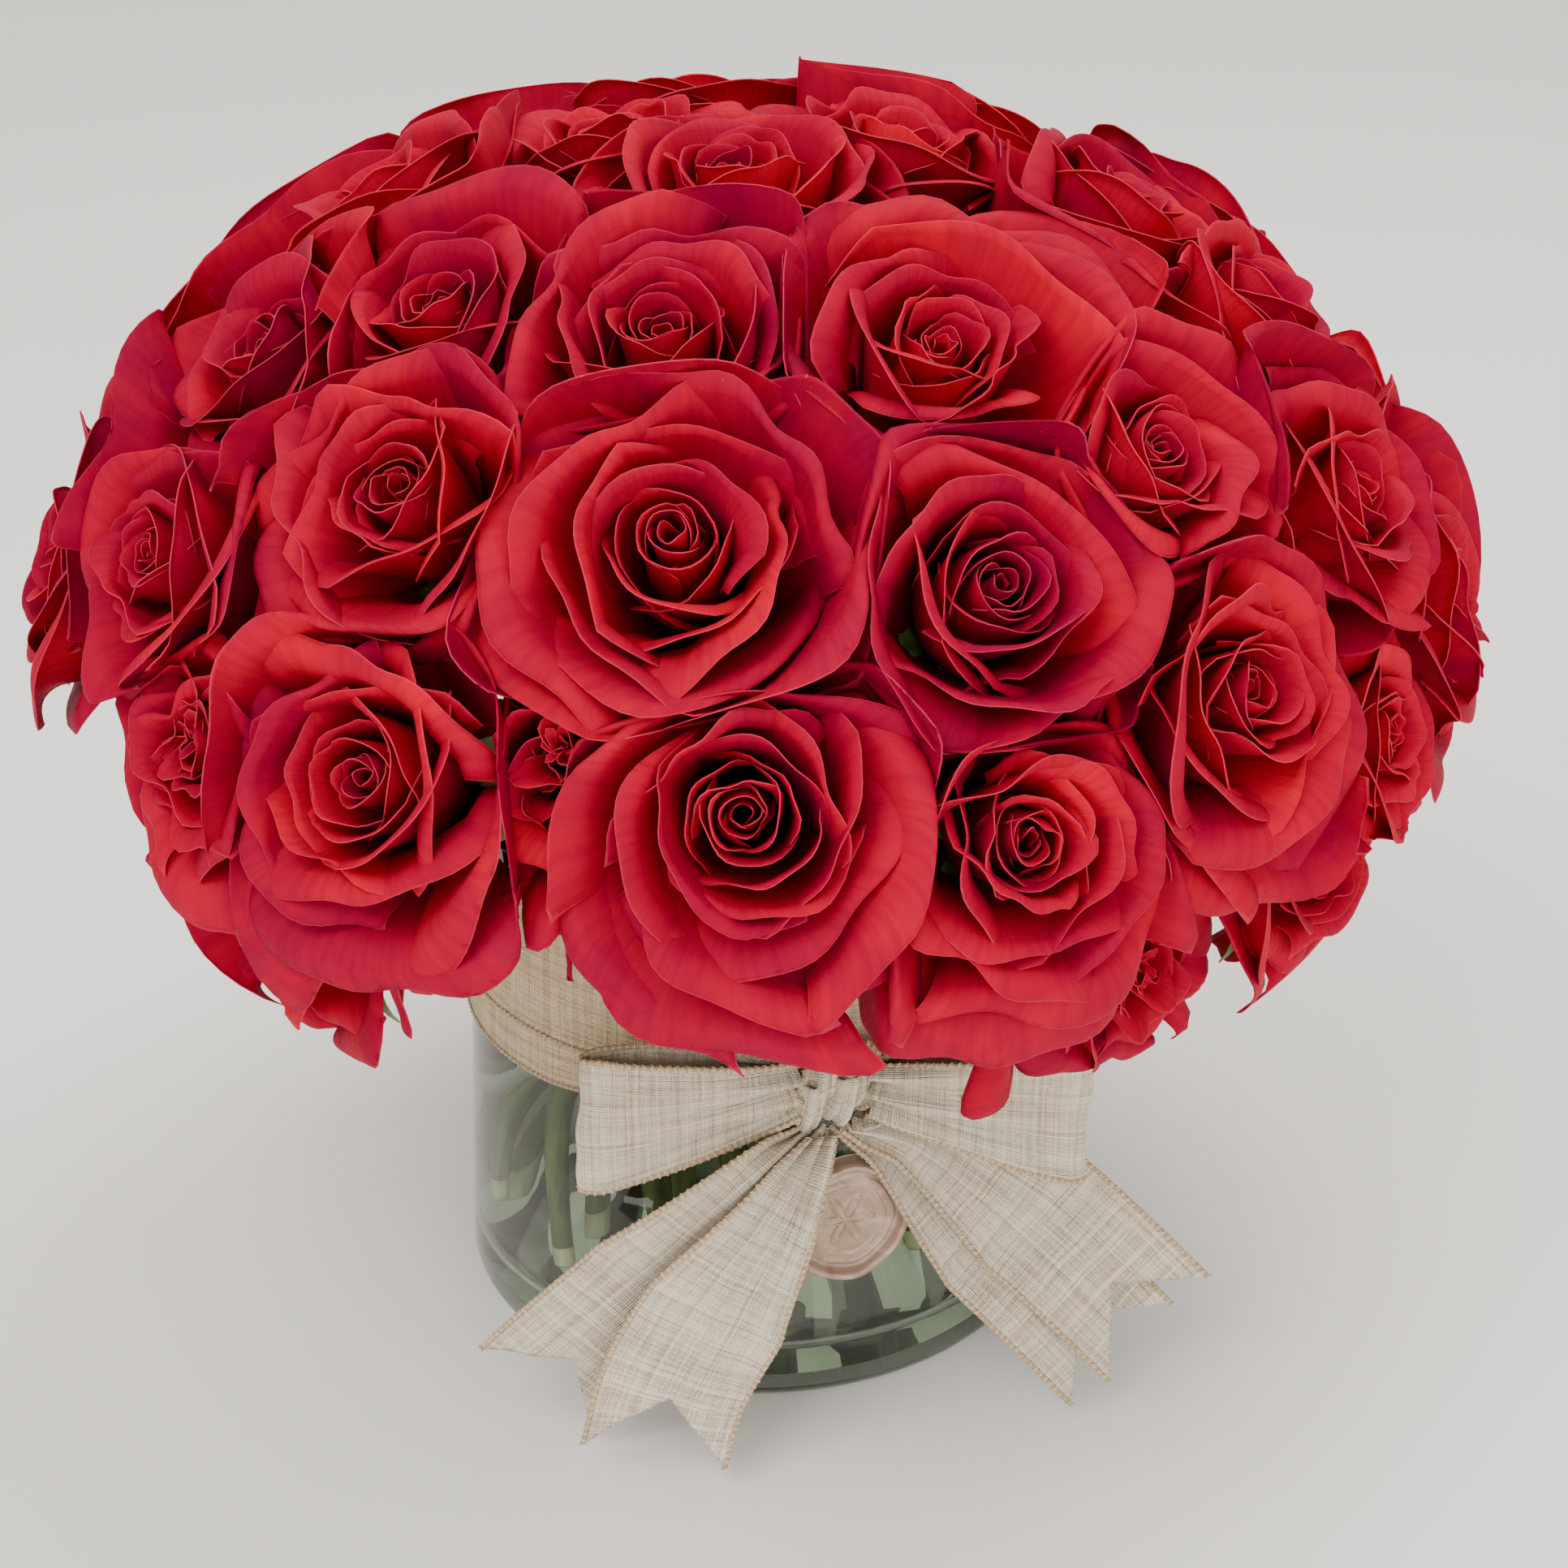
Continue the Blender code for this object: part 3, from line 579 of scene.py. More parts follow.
def petal_grid(rose, share, angle, down, across, along, rolled, longer):
    """Points of one petal in its rose's own frame (z along the bloom), with its UV places and rim numbers."""
    dice = rose.dice
    radius, depth = rose.width / 2 * rose.spread, rose.depth
    hang = (down[0] * math.cos(angle) + down[1] * math.sin(angle)) * max(0.0, share - 0.55) / 0.45
    hang = hang if hang > 0 else 0.8 * hang
    lean = math.radians(table(PETAL_LEAN, share) - 34 * hang + dice.normal(0, 5 + 9 * rose.wild))
    roll = table(ROLL_RADIUS, share) * MM * dice.uniform(0.75, 1.3)
    turn = math.radians(table(ROLL_TURN, share) * dice.uniform(0.6, 1.15))
    overhang = roll * (math.sin(lean) - math.sin(lean - turn))
    loose = 0.03 + 0.09 * min(1, share * 2)
    reach = radius * table(PETAL_REACH, share) * dice.uniform(1 - loose, 1 + loose) * longer - overhang * 0.8
    rise = depth * (table(PETAL_RISE, share) - 0.14 * hang) * dice.uniform(0.93, 1.04)
    foot_radius, foot_height = 3.2 * MM + 1.5 * MM * share, 3 * MM * (1 - share)
    reach = max(reach, foot_radius * 0.4)
    start = math.radians(table(PETAL_START, share) - 10 * hang)
    v = np.linspace(-1, 1, across)
    bluntness = dice.uniform(1.7, 2.8)
    shorter = dice.uniform(0.16, 0.3) * (0.5 + 0.5 * min(1, share * 2))
    notch = dice.normal(0, 0.05)
    height = 1 - shorter * np.abs(v + notch) ** bluntness
    height += 0.012 * np.sin(v * dice.uniform(5, 9) + dice.uniform(0, 6))

    # the body: a curve from the hip to the rim, each column as far as that column reaches
    a = np.array([foot_radius, foot_height])
    d = np.array([reach, rise])
    pull = np.linalg.norm(d - a) * 0.42
    b = a + pull * np.array([math.cos(start), math.sin(start)])
    c = d - pull * np.array([math.cos(lean), math.sin(lean)])
    t = np.linspace(0, 1, along)[None, :] ** 0.8 * height[:, None]
    s = 1 - t
    curve = [a[i] * s**3 + b[i] * 3 * t * s * s + c[i] * 3 * t * t * s + d[i] * t**3 for i in (0, 1)]
    slope = [
        3 * ((b[i] - a[i]) * s * s + 2 * (c[i] - b[i]) * s * t + (d[i] - c[i]) * t * t) for i in (0, 1)
    ]
    heading = np.arctan2(slope[1][:, -1], slope[0][:, -1])

    # the rolled rim: it turns further and tighter towards the sides
    corner = np.abs(v) ** 1.4
    rim_turn = turn * (0.55 + 0.6 * corner) * (1 + 0.15 * np.sin(v * 4 + dice.uniform(0, 6)))
    rim_roll = roll * (1.15 - 0.5 * corner)
    x = np.linspace(0, 1, rolled + 1)[None, 1:] * rim_turn[:, None]
    h = heading[:, None]
    out = curve[0][:, -1:] + rim_roll[:, None] * (np.sin(h) - np.sin(h - x))
    up = curve[1][:, -1:] + rim_roll[:, None] * (np.cos(h - x) - np.cos(h))
    r = np.concatenate([curve[0], out], axis=1)
    z = np.concatenate([curve[1], up], axis=1)

    # ruffles, the spiral tuck of one side behind the other, and the sides turned back
    along_share = np.concatenate([t / height[:, None] * 0.72, 0.72 + 0.28 * x / rim_turn[:, None]], axis=1)
    wave = (table(PETAL_WAVE, share) + 2 * rose.wild) * MM * dice.uniform(0.6, 1.4)
    ruffle = wave * np.sin(v * dice.uniform(2.5, 5) + dice.uniform(0, 6))
    ruffle += 0.45 * wave * np.sin(v * dice.uniform(7, 12) + dice.uniform(0, 6))
    r += ruffle[:, None] * along_share**2.5
    z += 0.5 * ruffle[:, None] * along_share**3
    r += rose.chirality * v[:, None] * (0.9 + 1.3 * share) * MM * np.minimum(1, along_share * 2)
    back = np.clip((np.abs(v) - 0.7) / 0.3, 0, 1) ** 2 * (0.6 + 2.2 * share) * MM
    r += back[:, None] * np.minimum(1, along_share * 1.6)
    half = math.radians(table(PETAL_HALF_WIDTH, share)) * dice.uniform(0.9, 1.1)
    swept = v[:, None] * half * (0.7 + 0.3 * np.minimum(1, along_share * 1.7))
    skew = math.radians(dice.normal(0, 6)) * along_share**2
    phi = angle + swept + skew
    flat = rose.angular * min(1, max(0, share - 0.12) * 2.4) * dice.uniform(0.4, 1.3)
    tip = 1 / np.cos(np.clip(swept, -1.0, 1.0)) - 1
    r = r * (1 + flat * (tip - 0.18) * np.minimum(1, along_share * 1.3))
    side_out = dice.normal(0, 0.07 + 0.05 * rose.wild) * min(1, share * 3)
    r = r * (1 + side_out * v[:, None] * along_share)
    shift = rose.heart_shift * max(0.0, 1 - share * 1.1)
    points = np.stack([r * np.cos(phi) + shift[0], r * np.sin(phi) + shift[1], z], axis=2)
    places = np.stack([np.broadcast_to(v[:, None], r.shape), along_share], axis=2)
    edge = np.maximum(along_share, np.where(along_share > 0.35, np.abs(v)[:, None] ** 6, 0))
    return points, places, edge


# %% [markdown]
# ## Room for each bloom
# Blooms press on their neighbours. Between every two of them stands an invisible wall, nearer the smaller
# bloom. Petals that would cross it are eased back against it and slide up along the bloom, so petals of
# different roses press together and hardly grow through each other. Petals are also kept close to the
# dome and clear of the vase.


# %% Walls between neighbours
WALL_SOFTNESS = 5 * MM  # how long before a wall a petal starts to bend
DOME_SLACK = 3 * MM  # petals may stand this far past the dome before they are pulled in
DOME_SOFTNESS = 7 * MM  # and never more than this much further
VASE_CLEARANCE = 5 * MM
HANG_TOP = 12 * MM  # petals lower than this above the mouth start to be pushed off the vase
HANG_BAND = 14 * MM


def neighbour_walls(rose, roses):
    """Planes (point, unit direction towards the neighbour) round one bloom."""
    middle = rose.lip_middle()
    walls = []
    for other in roses:
        if other is rose:
            continue
        gap = other.lip_middle() - middle
        apart = np.linalg.norm(gap)
        if apart < (rose.width + other.width) * 0.8:
            mine, theirs = rose.width / 2, other.width / 2
            share = (apart**2 + mine**2 - theirs**2) / (2 * apart)
            over = rose.rank > other.rank
            share += (5 if over else 0.5) * MM
            walls.append((middle + gap / apart * share, gap / apart, 0.35 if over else -0.5))
    return walls


def ease_in(points, rose, walls):
    """Points kept on this bloom's side of its walls, near the dome and off the vase."""
    soft = WALL_SOFTNESS
    for place, towards, rise in walls:
        over = (points - place) @ towards
        eased = np.where(over < -soft, over, -soft * np.exp(-(np.maximum(over, -soft) + soft) / soft))
        moved = eased - over
        points = points + moved[:, None] * towards
        points = points - rise * moved[:, None] * np.array(rose.axis)
    middle = np.array([0, 0, VASE_HEIGHT])
    away = np.linalg.norm(points - middle, axis=1)
    polar = np.arccos(np.clip((points[:, 2] - VASE_HEIGHT) / away, -1, 1))
    past = np.maximum(away - dome_radius(polar) - DOME_SLACK, 0)
    pulled = away - past + DOME_SOFTNESS * (1 - np.exp(-past / DOME_SOFTNESS))
    points = middle + (points - middle) * (pulled / away)[:, None]
    flat = np.hypot(points[:, 0], points[:, 1])
    low = np.clip((VASE_HEIGHT + HANG_TOP - points[:, 2]) / HANG_BAND, 0, 1)
    wanted = VASE_FOOT_RADIUS + VASE_CLEARANCE
    push = np.where(flat < wanted, wanted - flat, 0) * low
    scale = (flat + push) / np.maximum(flat, 1e-6)
    return np.column_stack([points[:, 0] * scale, points[:, 1] * scale, points[:, 2]])


# %% [markdown]
# ## A whole rose
# Petals follow each other round the bloom at the golden angle, as on the plant, from the tight heart out.
# Under them are the hip, five sepals folded back and the stem with a few thorns.


# %% Build one rose
GOLDEN_ANGLE = math.radians(137.508)
OUTER_SHARE = 0.55  # petals further out than this may fill a gap beside the bloom
FINE_SHARE = 0.4  # petals further out than this get more points
NEIGHBOUR_GAP = 3 * MM
PETAL_THICKNESS = 0.32 * MM
VELVET, GREEN, CUT = 0, 1, 2  # places of the finishes on a rose
SEPALS = 5


def room_beyond(rose, roses, angle):
    """How much longer a petal may be in one direction before it meets the next bloom."""
    towards = rose.turn @ np.array([math.cos(angle), math.sin(angle), 0])
    if towards[2] < -0.05:
        return 1.0
    own = rose.width / 2 * rose.spread
    others = [other for other in roses if other is not rose]
    for stretch in np.arange(1.0, 1.5, 0.05):
        probe = rose.lip_middle() + towards * own * stretch
        near = min(np.linalg.norm(probe - other.lip_middle()) - other.width / 2 for other in others)
        if near < NEIGHBOUR_GAP:
            break
    return float(stretch)


def add_petals(clay, rose, roses):
    walls = neighbour_walls(rose, roses)
    down = rose.turn.T @ np.array([0, 0, -1.0])
    count = round(np.interp(rose.width, (50 * MM, 90 * MM), (21, 28)))
    rose.heart_shift = (-down[:2] * 3 + rose.dice.normal(0, 1.2, 2)) * MM
    first = rose.dice.uniform(0, 2 * math.pi)
    extra = rose.name == f"rose_{FRONT_ROSE}"
    for i in range(count + extra):
        share = min(1.0, i / (count - 1))
        angle = first + rose.chirality * i * GOLDEN_ANGLE + rose.dice.normal(0, 0.12)
        longer = 1.0
        if i == count:
            angle = math.atan2(down[1], down[0]) - 0.7
        elif share > OUTER_SHARE:
            longer = room_beyond(rose, roses, angle)
        across, rolled = (25, 7) if share > FINE_SHARE else (17, 4)
        points, places, edge = petal_grid(rose, share, angle, down, across, 7, rolled, longer)
        shape = points.shape
        world = points.reshape(-1, 3) @ rose.turn.T + np.array(rose.base)
        world = ease_in(world, rose, walls).reshape(shape)
        tone = rose.tone + rose.dice.normal(0, 0.12)
        worn = max(0.0, share - 0.6) / 0.4 * rose.age * rose.dice.uniform(0.2, 1)
        clay.shell(world, PETAL_THICKNESS, places, (edge, share, tone, worn * edge**2), VELVET)


def add_green(clay, rose):
    line = rose.stem_line()
    radii = [STEM_DIAMETER / 2 * (1 - 0.12 * i / len(line)) for i in range(len(line))]
    clay.tube(line, radii, 12, GREEN)
    tip, run = line[0], (line[1] - line[0]).normalized()
    slice_line = [tip - run * 0.3 * MM, tip + run * 0.4 * MM, tip + run * 5 * MM]
    clay.tube(slice_line, [3.1 * MM, 3.4 * MM, 3.3 * MM], 12, CUT)
    axis, base = np.array(rose.axis), np.array(rose.base)
    hip = [base + axis * h * MM for h in (-7, -5.5, -3, 0, 3, 5)]
    clay.tube(hip, [r * MM for r in (2.9, 4.2, 5.8, 6.2, 5.2, 3.6)], 14, GREEN)
    v = np.linspace(-1, 1, 5)[:, None]
    t = np.linspace(0, 1, 9)[None, :]
    for i in range(SEPALS):
        angle = i * 2 * math.pi / SEPALS + rose.dice.normal(0, 0.15)
        length = 24 * MM * rose.dice.uniform(0.8, 1.2)
        width = 4.2 * MM * np.sin(np.pi * np.clip(t * 0.8 + 0.2, 0, 1)) ** 0.8 * (1 - t) ** 0.3 + 0.1 * MM
        bend = np.radians(20 + 110 * t)
        step = length / 8
        r = 5 * MM + np.cumsum(np.sin(bend), axis=1) * step
        z = 1 * MM + np.cumsum(np.cos(bend), axis=1) * step
        side = v * width
        z = z + 2.0 * (side / (4 * MM)) ** 2 * MM * 0.4
        x = r * np.cos(angle) - side * np.sin(angle)
        y = r * np.sin(angle) + side * np.cos(angle)
        local = np.stack([x, y, z], axis=2)
        world = (local.reshape(-1, 3) @ rose.turn.T + base).reshape(local.shape)
        places = np.stack(np.broadcast_arrays(v, t), axis=2)
        clay.shell(world, 0.4 * MM, places, (t, 0, 0.5, 0), GREEN)


def make_rose(rose, roses):
    clay = Clay()
    add_petals(clay, rose, roses)
    add_green(clay, rose)
    return settle(clay.mesh(rose.name + "_bloom", [velvet, stem_green, cut_end]), "rose", rose.name)


blooms = [make_rose(rose, roses) for rose in roses]
print("triangles in roses", sum(len(b.data.loops) - 2 * len(b.data.polygons) for b in blooms))

# %% [markdown]
# ## Vase
# The vase is one heavy piece of clear glass turned round its axis: a thick floor, a rounded foot, a wall
# that narrows a little and a polished rim. Its outline is drawn as points of (radius, height) and spun.
# Clear glass has a green cast that shows only where light goes a long way through it, so the colour is an
# absorption inside the glass and not a paint on it. Shadow rays see it as clear, so that lamps reach the
# stems.


# %% Turn an outline round the upright axis
def arc(middle, radius, start, end, steps=8):
    turns = np.radians(np.linspace(start, end, steps))
    return [(middle[0] + radius * math.cos(a), middle[1] + radius * math.sin(a)) for a in turns]


def lathe(name, outline, sides, surface):
    """A closed outline from the axis to the axis, spun. It runs so that its left side is outside."""
    turns = np.linspace(0, 2 * math.pi, sides, endpoint=False)
    shape = bmesh.new()
    rings = []
    for r, z in outline:
        if r < 1e-6:
            rings.append([shape.verts.new((0, 0, z))] * sides)
        else:
            rings.append([shape.verts.new((r * math.cos(a), r * math.sin(a), z)) for a in turns])
    for near, far in zip(rings, rings[1:]):
        for i in range(sides):
            j = (i + 1) % sides
            corners = []
            for vert in (near[i], near[j], far[j], far[i]):
                if vert not in corners:
                    corners.append(vert)
            if len(corners) > 2:
                shape.faces.new(corners)
    bmesh.ops.recalc_face_normals(shape, faces=shape.faces)
    return from_faces(name, shape, surface)


def clear_body(name, ior, tint, density):
    """Glass or water: refracts, tints what goes far through it, and lets lamps through."""
    paint = Paint(name, IOR=ior, Transmission_Weight=1.0, Base_Color=(0.985, 1.0, 0.99, 1))
    streaks = paint.noise((1, 1, 0.3), 26, 2)
    rough = paint.ramp(streaks, (0.3, 0.0), (0.8, 0.003))
    paint.surface(Roughness=rough, Normal=paint.bump(streaks, 0.0006, 0.02))
    clear = paint.node("BsdfTransparent")
    light = paint.node("LightPath")
    mixed = paint.node("MixShader")
    paint.join(mixed, "i0", light.outputs["Is Shadow Ray"])
    paint.join(mixed, "i1", paint.shader.outputs[0])
    paint.join(mixed, "i2", clear)
    end = paint.tree.nodes["Material Output"]
    paint.join(end, "Surface", mixed)
    depth = paint.node("VolumeAbsorption", Density=density)
    depth.inputs["Color"].default_value = (*tint, 1)
    paint.tree.links.new(depth.outputs[0], end.inputs["Volume"])
    return paint.material


# %% Blow the vase and fill it
GLASS_IOR, WATER_IOR = 1.48, 1.33
VASE_SIDES = 128


def inside_outline(inset):
    """The inside of the vase from the middle of its floor up to the start of the wall."""
    floor = VASE_FLOOR + inset
    corner = vase_radius(VASE_FLOOR) - VASE_WALL - VASE_INSIDE_ROUND
    turn = arc((corner, floor + VASE_INSIDE_ROUND), VASE_INSIDE_ROUND - inset, -90, 0)
    return [(0, floor)] + [(r, z - inset) for r, z in turn]


def make_vase():
    lip = 1.9 * MM
    rim = arc((VASE_MOUTH_RADIUS - VASE_WALL / 2, VASE_HEIGHT - lip), VASE_WALL / 2, 180, 0, 9)
    foot_middle = (vase_radius(VASE_FOOT_ROUND) - VASE_FOOT_ROUND, VASE_FOOT_ROUND)
    foot = arc(foot_middle, VASE_FOOT_ROUND, 0, -78, 8)
    pontil = [(foot[-1][0] - 2 * MM, 0), (60 * MM, 0), (52 * MM, 1.2 * MM), (0, 2.2 * MM)]
    outline = inside_outline(0) + rim + foot + pontil
    glass = clear_body("vase_glass", GLASS_IOR, (0.45, 0.53, 0.44), 30.0)
    return settle(lathe("vase_glass_body", outline, VASE_SIDES, glass), "vase_glass", "vase")


def make_water():
    """The water reaches a hair into the glass, so no film of air shows between them."""
    grow = -0.05 * MM
    top = vase_radius(WATER_LEVEL) - VASE_WALL - grow
    meniscus = [(top, WATER_LEVEL + 1.4 * MM), (top - 0.8 * MM, WATER_LEVEL + 0.5 * MM)]
    meniscus += [(top - 2.2 * MM, WATER_LEVEL), (0, WATER_LEVEL)]
    outline = inside_outline(grow) + meniscus
    liquid = clear_body("vase_water", WATER_IOR, (0.5, 0.66, 0.35), 7.0)
    return settle(lathe("vase_water", outline, VASE_SIDES, liquid), "water", "water")


vase, water = make_vase(), make_water()
print("vase and water", len(vase.data.polygons), len(water.data.polygons), "faces")

# %% [markdown]
# ## Linen ribbon
# The ribbon is a loose plain weave of natural linen, 40 mm wide, with a fine wire in each edge held by a
# whipped tan thread. Every ribbon piece here keeps UV places in metres of flat cloth, across and along, so
# one finish draws the same threads on all of them, closer together where the cloth is gathered.


# %% Linen finish
def linen(name, pale, tan, thread=0.72 * MM):
    paint = Paint(name, Roughness=0.9, Sheen_Weight=0.15, Sheen_Roughness=0.5, Specular_IOR_Level=0.2)
    places = paint.node("SeparateXYZ", Vector=paint.node("TexCoord").outputs["UV"])
    wobble = paint.noise((90, 90, 1), 1.0, 2, "UV")
    heights, shades = [], []
    for axis in "XY":
        drift = paint.sum("MULTIPLY", wobble, 0.9)
        count = paint.sum("ADD", paint.sum("DIVIDE", places.outputs[axis], thread), drift)
        round_top = paint.sum("ABSOLUTE", paint.sum("SINE", paint.sum("MULTIPLY", count, math.pi)))
        heights.append(round_top)
        number = paint.node("TexWhiteNoise", {"noise_dimensions": "1D"}, W=paint.sum("FLOOR", count))
        scale = (1.1 / thread, 26, 1) if axis == "X" else (26, 1.1 / thread, 1)
        slub = paint.noise(scale, 1.0, 2, "UV")
        both = paint.sum("ADD", paint.sum("MULTIPLY", number.outputs["Value"], 0.5), slub)
        shades.append(both)
    weave = paint.sum("MULTIPLY", heights[0], heights[1])
    tone = paint.sum("MULTIPLY", paint.sum("ADD", *shades), 0.5)
    colour = paint.ramp(tone, (0.5, tan), (0.74, pale), (0.92, tuple(min(1, c * 1.12) for c in pale)))
    # Painted shade: the gaps between threads, where the weave is low, are darkened towards a deep tan.
    thread_gap_painted_shade = paint.ramp(weave, (0.0, 0.55), (0.45, 0))
    shaded = paint.mix(thread_gap_painted_shade, colour, tuple(c * 0.45 for c in tan))
    fuzz = paint.noise((1, 1, 1), 1500, 2)
    rough = paint.bump(fuzz, 0.0002, 0.3)
    threads = paint.bump(weave, 0.0007, 0.8, rough)
    slubs = paint.bump(tone, 0.0012, 0.5, threads)
    return paint.surface(Base_Color=shaded, Normal=slubs)


def whipping():
    """The tan thread whipped over the ribbon's wired edges."""
    paint = Paint("whipped_edge", Roughness=0.85, Sheen_Weight=0.1)
    turns = paint.node("TexWave", {"bands_direction": "Y"}, Scale=155.0, Distortion=1.0)
    paint.join(turns, "Vector", paint.where((1, 1, 1), "UV"))
    # Painted shade: the thread is darker in the grooves between its turns, where the bump is low.
    colour = paint.ramp(turns, (0.2, (0.4, 0.28, 0.16)), (0.8, (0.6, 0.46, 0.29)))
    return paint.surface(Base_Color=colour, Normal=paint.bump(turns, 0.0004, 0.6))


bow_linen = linen("bow_linen", (0.96, 0.83, 0.65), (0.66, 0.5, 0.33))
band_linen = linen("band_linen", (0.96, 0.74, 0.46), (0.66, 0.46, 0.24))
edge_thread = whipping()
print("linen ready")

# %% [markdown]
# ## Cutting and laying a ribbon
# A ribbon is laid along a line. Across it run rows of points, and folds are moves of those points along the
# ribbon's own normal: deep pleats where the knot gathers it, softer waves further out. Each edge gets its
# wired cord, which follows the folds.


# %% Lay ribbon cloth
def bow_point(right, outward, up):
    """A point by the knot: to its right along the glass, outward from the vase, up (millimetres)."""
    side = np.array([math.cos(BOW_AZIMUTH), math.sin(BOW_AZIMUTH), 0])
    out = np.array([math.sin(BOW_AZIMUTH), -math.cos(BOW_AZIMUTH), 0])
    knot = vase_radius(BOW_HEIGHT) / MM + 0.3 + 2.4 + 0.4 + 8
    return (out * (knot + outward) + side * right + np.array([0, 0, BOW_HEIGHT / MM + up])) * MM


def evenly(line, count):
    """A line's points at even steps, and how far along the first line each one is."""
    along = run_length(line)
    wanted = np.linspace(0, along[-1], count)
    return np.stack([np.interp(wanted, along, line[:, i]) for i in range(3)], axis=1), wanted


def through(points, count):
    """Points at even steps along a smooth curve through a few chosen ones."""
    points = np.asarray(points, float)
    ends = np.concatenate([[points[0] * 2 - points[1]], points, [points[-1] * 2 - points[-2]]])
    fine = []
    t = np.linspace(0, 1, 24, endpoint=False)[:, None]
    for a, b, c, d in zip(ends, ends[1:], ends[2:], ends[3:]):
        square, cube = a * 2 - b * 5 + c * 4 - d, b * 3 - a - c * 3 + d
        fine.append((b * 2 + (c - a) * t + square * t**2 + cube * t**3) / 2)
    return evenly(np.concatenate([*fine, points[-1:]]), count)[0]


def lay_ribbon(line, across, widths, folds, end_cut, columns):
    """The cloth's grid (across, along, 3) and its UV places in metres of flat cloth."""
    steps = len(line)
    run = unit(np.gradient(line, axis=0))
    across = unit(across)
    normal = unit(np.cross(across, run))
    length = run_length(line)
    v = np.linspace(-1, 1, columns)
    share = np.linspace(0, 1, steps)
    grid = line[None] + v[:, None, None] * (widths / 2)[None, :, None] * across[None]
    lift = folds(v[:, None], share[None, :]) * MM
    grid = grid + lift[..., None] * normal[None]
    along = np.broadcast_to(length[None], (columns, steps)).copy()
    if end_cut is not None:
        for i, x in enumerate(v):
            cut = end_cut(x)
            wanted = np.linspace(0, length[-1] - cut, steps)
            old = grid[i].copy()
            for k in range(3):
                grid[i, :, k] = np.interp(wanted, length, old[:, k])
            along[i] = wanted
    places = np.stack([np.broadcast_to((v[:, None] + 1) * RIBBON_WIDTH / 2, along.shape), along], axis=2)
    return grid, places


EDGE_CORD_RADIUS = 0.75 * MM
ribbon_edges = []


def sew(name, grid, places, surface, stands_for, thickness=0.6 * MM):
    """Cloth with thickness and a wired cord along both of its edges."""
    clay = Clay()
    normals = grid_normals(grid)
    clay.shell(grid + normals * thickness / 2, thickness, places, (0, 0, 0.5, 0), 0)
    for edge in (grid[0], grid[-1]):
        ribbon_edges.append(edge)
        clay.tube(edge, np.full(len(edge), EDGE_CORD_RADIUS), 8, 1)
    return settle(clay.mesh(name, [surface, edge_thread]), "linen", stands_for)


def declare(made, length):
    """Print the cut length of a ribbon piece."""
    print(made.name, "is cut from", round(length / MM), "mm of ribbon")
    return made


print("knot middle", [round(float(x), 4) for x in bow_point(0, 0, 0)])

# %% [markdown]
# ## Tails
# Four tails hang from the knot, two to each side. Wire in their edges holds them out in a gentle curve away
# from the glass. Their ends are cut in a V.

# %% Make the tails
TAILS = {
    "left_outer": [(-5, 1, -13), (-24, 12, -23), (-45, 10, -46), (-64, 3, -69), (-82, -6, -92)],
    "left_inner": [(-4, 6, -13), (-19, 17, -32), (-36, 20, -56), (-48, 20, -78), (-54, 20, -98)],
    "right_lower": [(4, -3, -13), (22, -7, -27), (43, -2.5, -50), (63, 6, -71), (81, 14, -91)],
    "right_upper": [(6, 1, -13), (26, -2, -22), (52, 4, -42), (71, 12, -60), (89, 20, -79)],
}
NOTCH = 18 * MM


def notch_cut(x):
    """How much shorter the cloth is at a place across it (-1 to 1), for a V cut."""
    return NOTCH * (1 - abs(x)) ** 1.05


def make_tail(name, points, seed):
    dice = np.random.default_rng(seed)
    line = through([bow_point(*point) for point in points], 72)
    share = np.linspace(0, 1, len(line))
    widths = (8 + 32 * np.clip(share / 0.55, 0, 1) ** 0.95) * MM
    facing = bow_point(0, 1, 0.25) - bow_point(0, 0, 0)
    across = unit(np.cross(np.gradient(line, axis=0), facing))
    start = unit(bow_point(-1, 0, 0) - bow_point(0, 0, 0))
    ease = np.clip(share / 0.12, 0, 1)[:, None]
    across = start[None] * (1 - ease) + across * ease
    phase = dice.uniform(0, 6, 4)

    def folds(v, s):
        pleats = 2.6 * (1 - np.clip(s / 0.5, 0, 1)) ** 1.6 * np.cos(v * math.pi * 2.5 + phase[0])
        wave = 1.3 * np.sin(v * 2.2 + s * 5 + phase[1]) * np.clip(s * 2, 0, 1)
        ripple = 0.35 * np.sin(v * 7 + s * 13 + phase[2]) * np.clip(s * 2, 0, 1)
        curl = -1.6 * v * v * np.clip((s - 0.75) / 0.25, 0, 1) * math.sin(phase[3])
        return pleats + wave + ripple + curl

    grid, places = lay_ribbon(line, across, widths, folds, notch_cut, 37)
    made = sew("tail_" + name, grid, places, bow_linen, "bow_tail_" + name)
    return declare(made, run_length(line)[-1])


tails = [make_tail(name, points, 40 + i) for i, (name, points) in enumerate(TAILS.items())]

# %% [markdown]
# ## Loops and knot
# Each loop goes out along the front, folds over and comes back behind, pinched into pleats at the knot. The
# knot is a short length of the same ribbon wrapped round the middle, its cloth bunched into ridges.


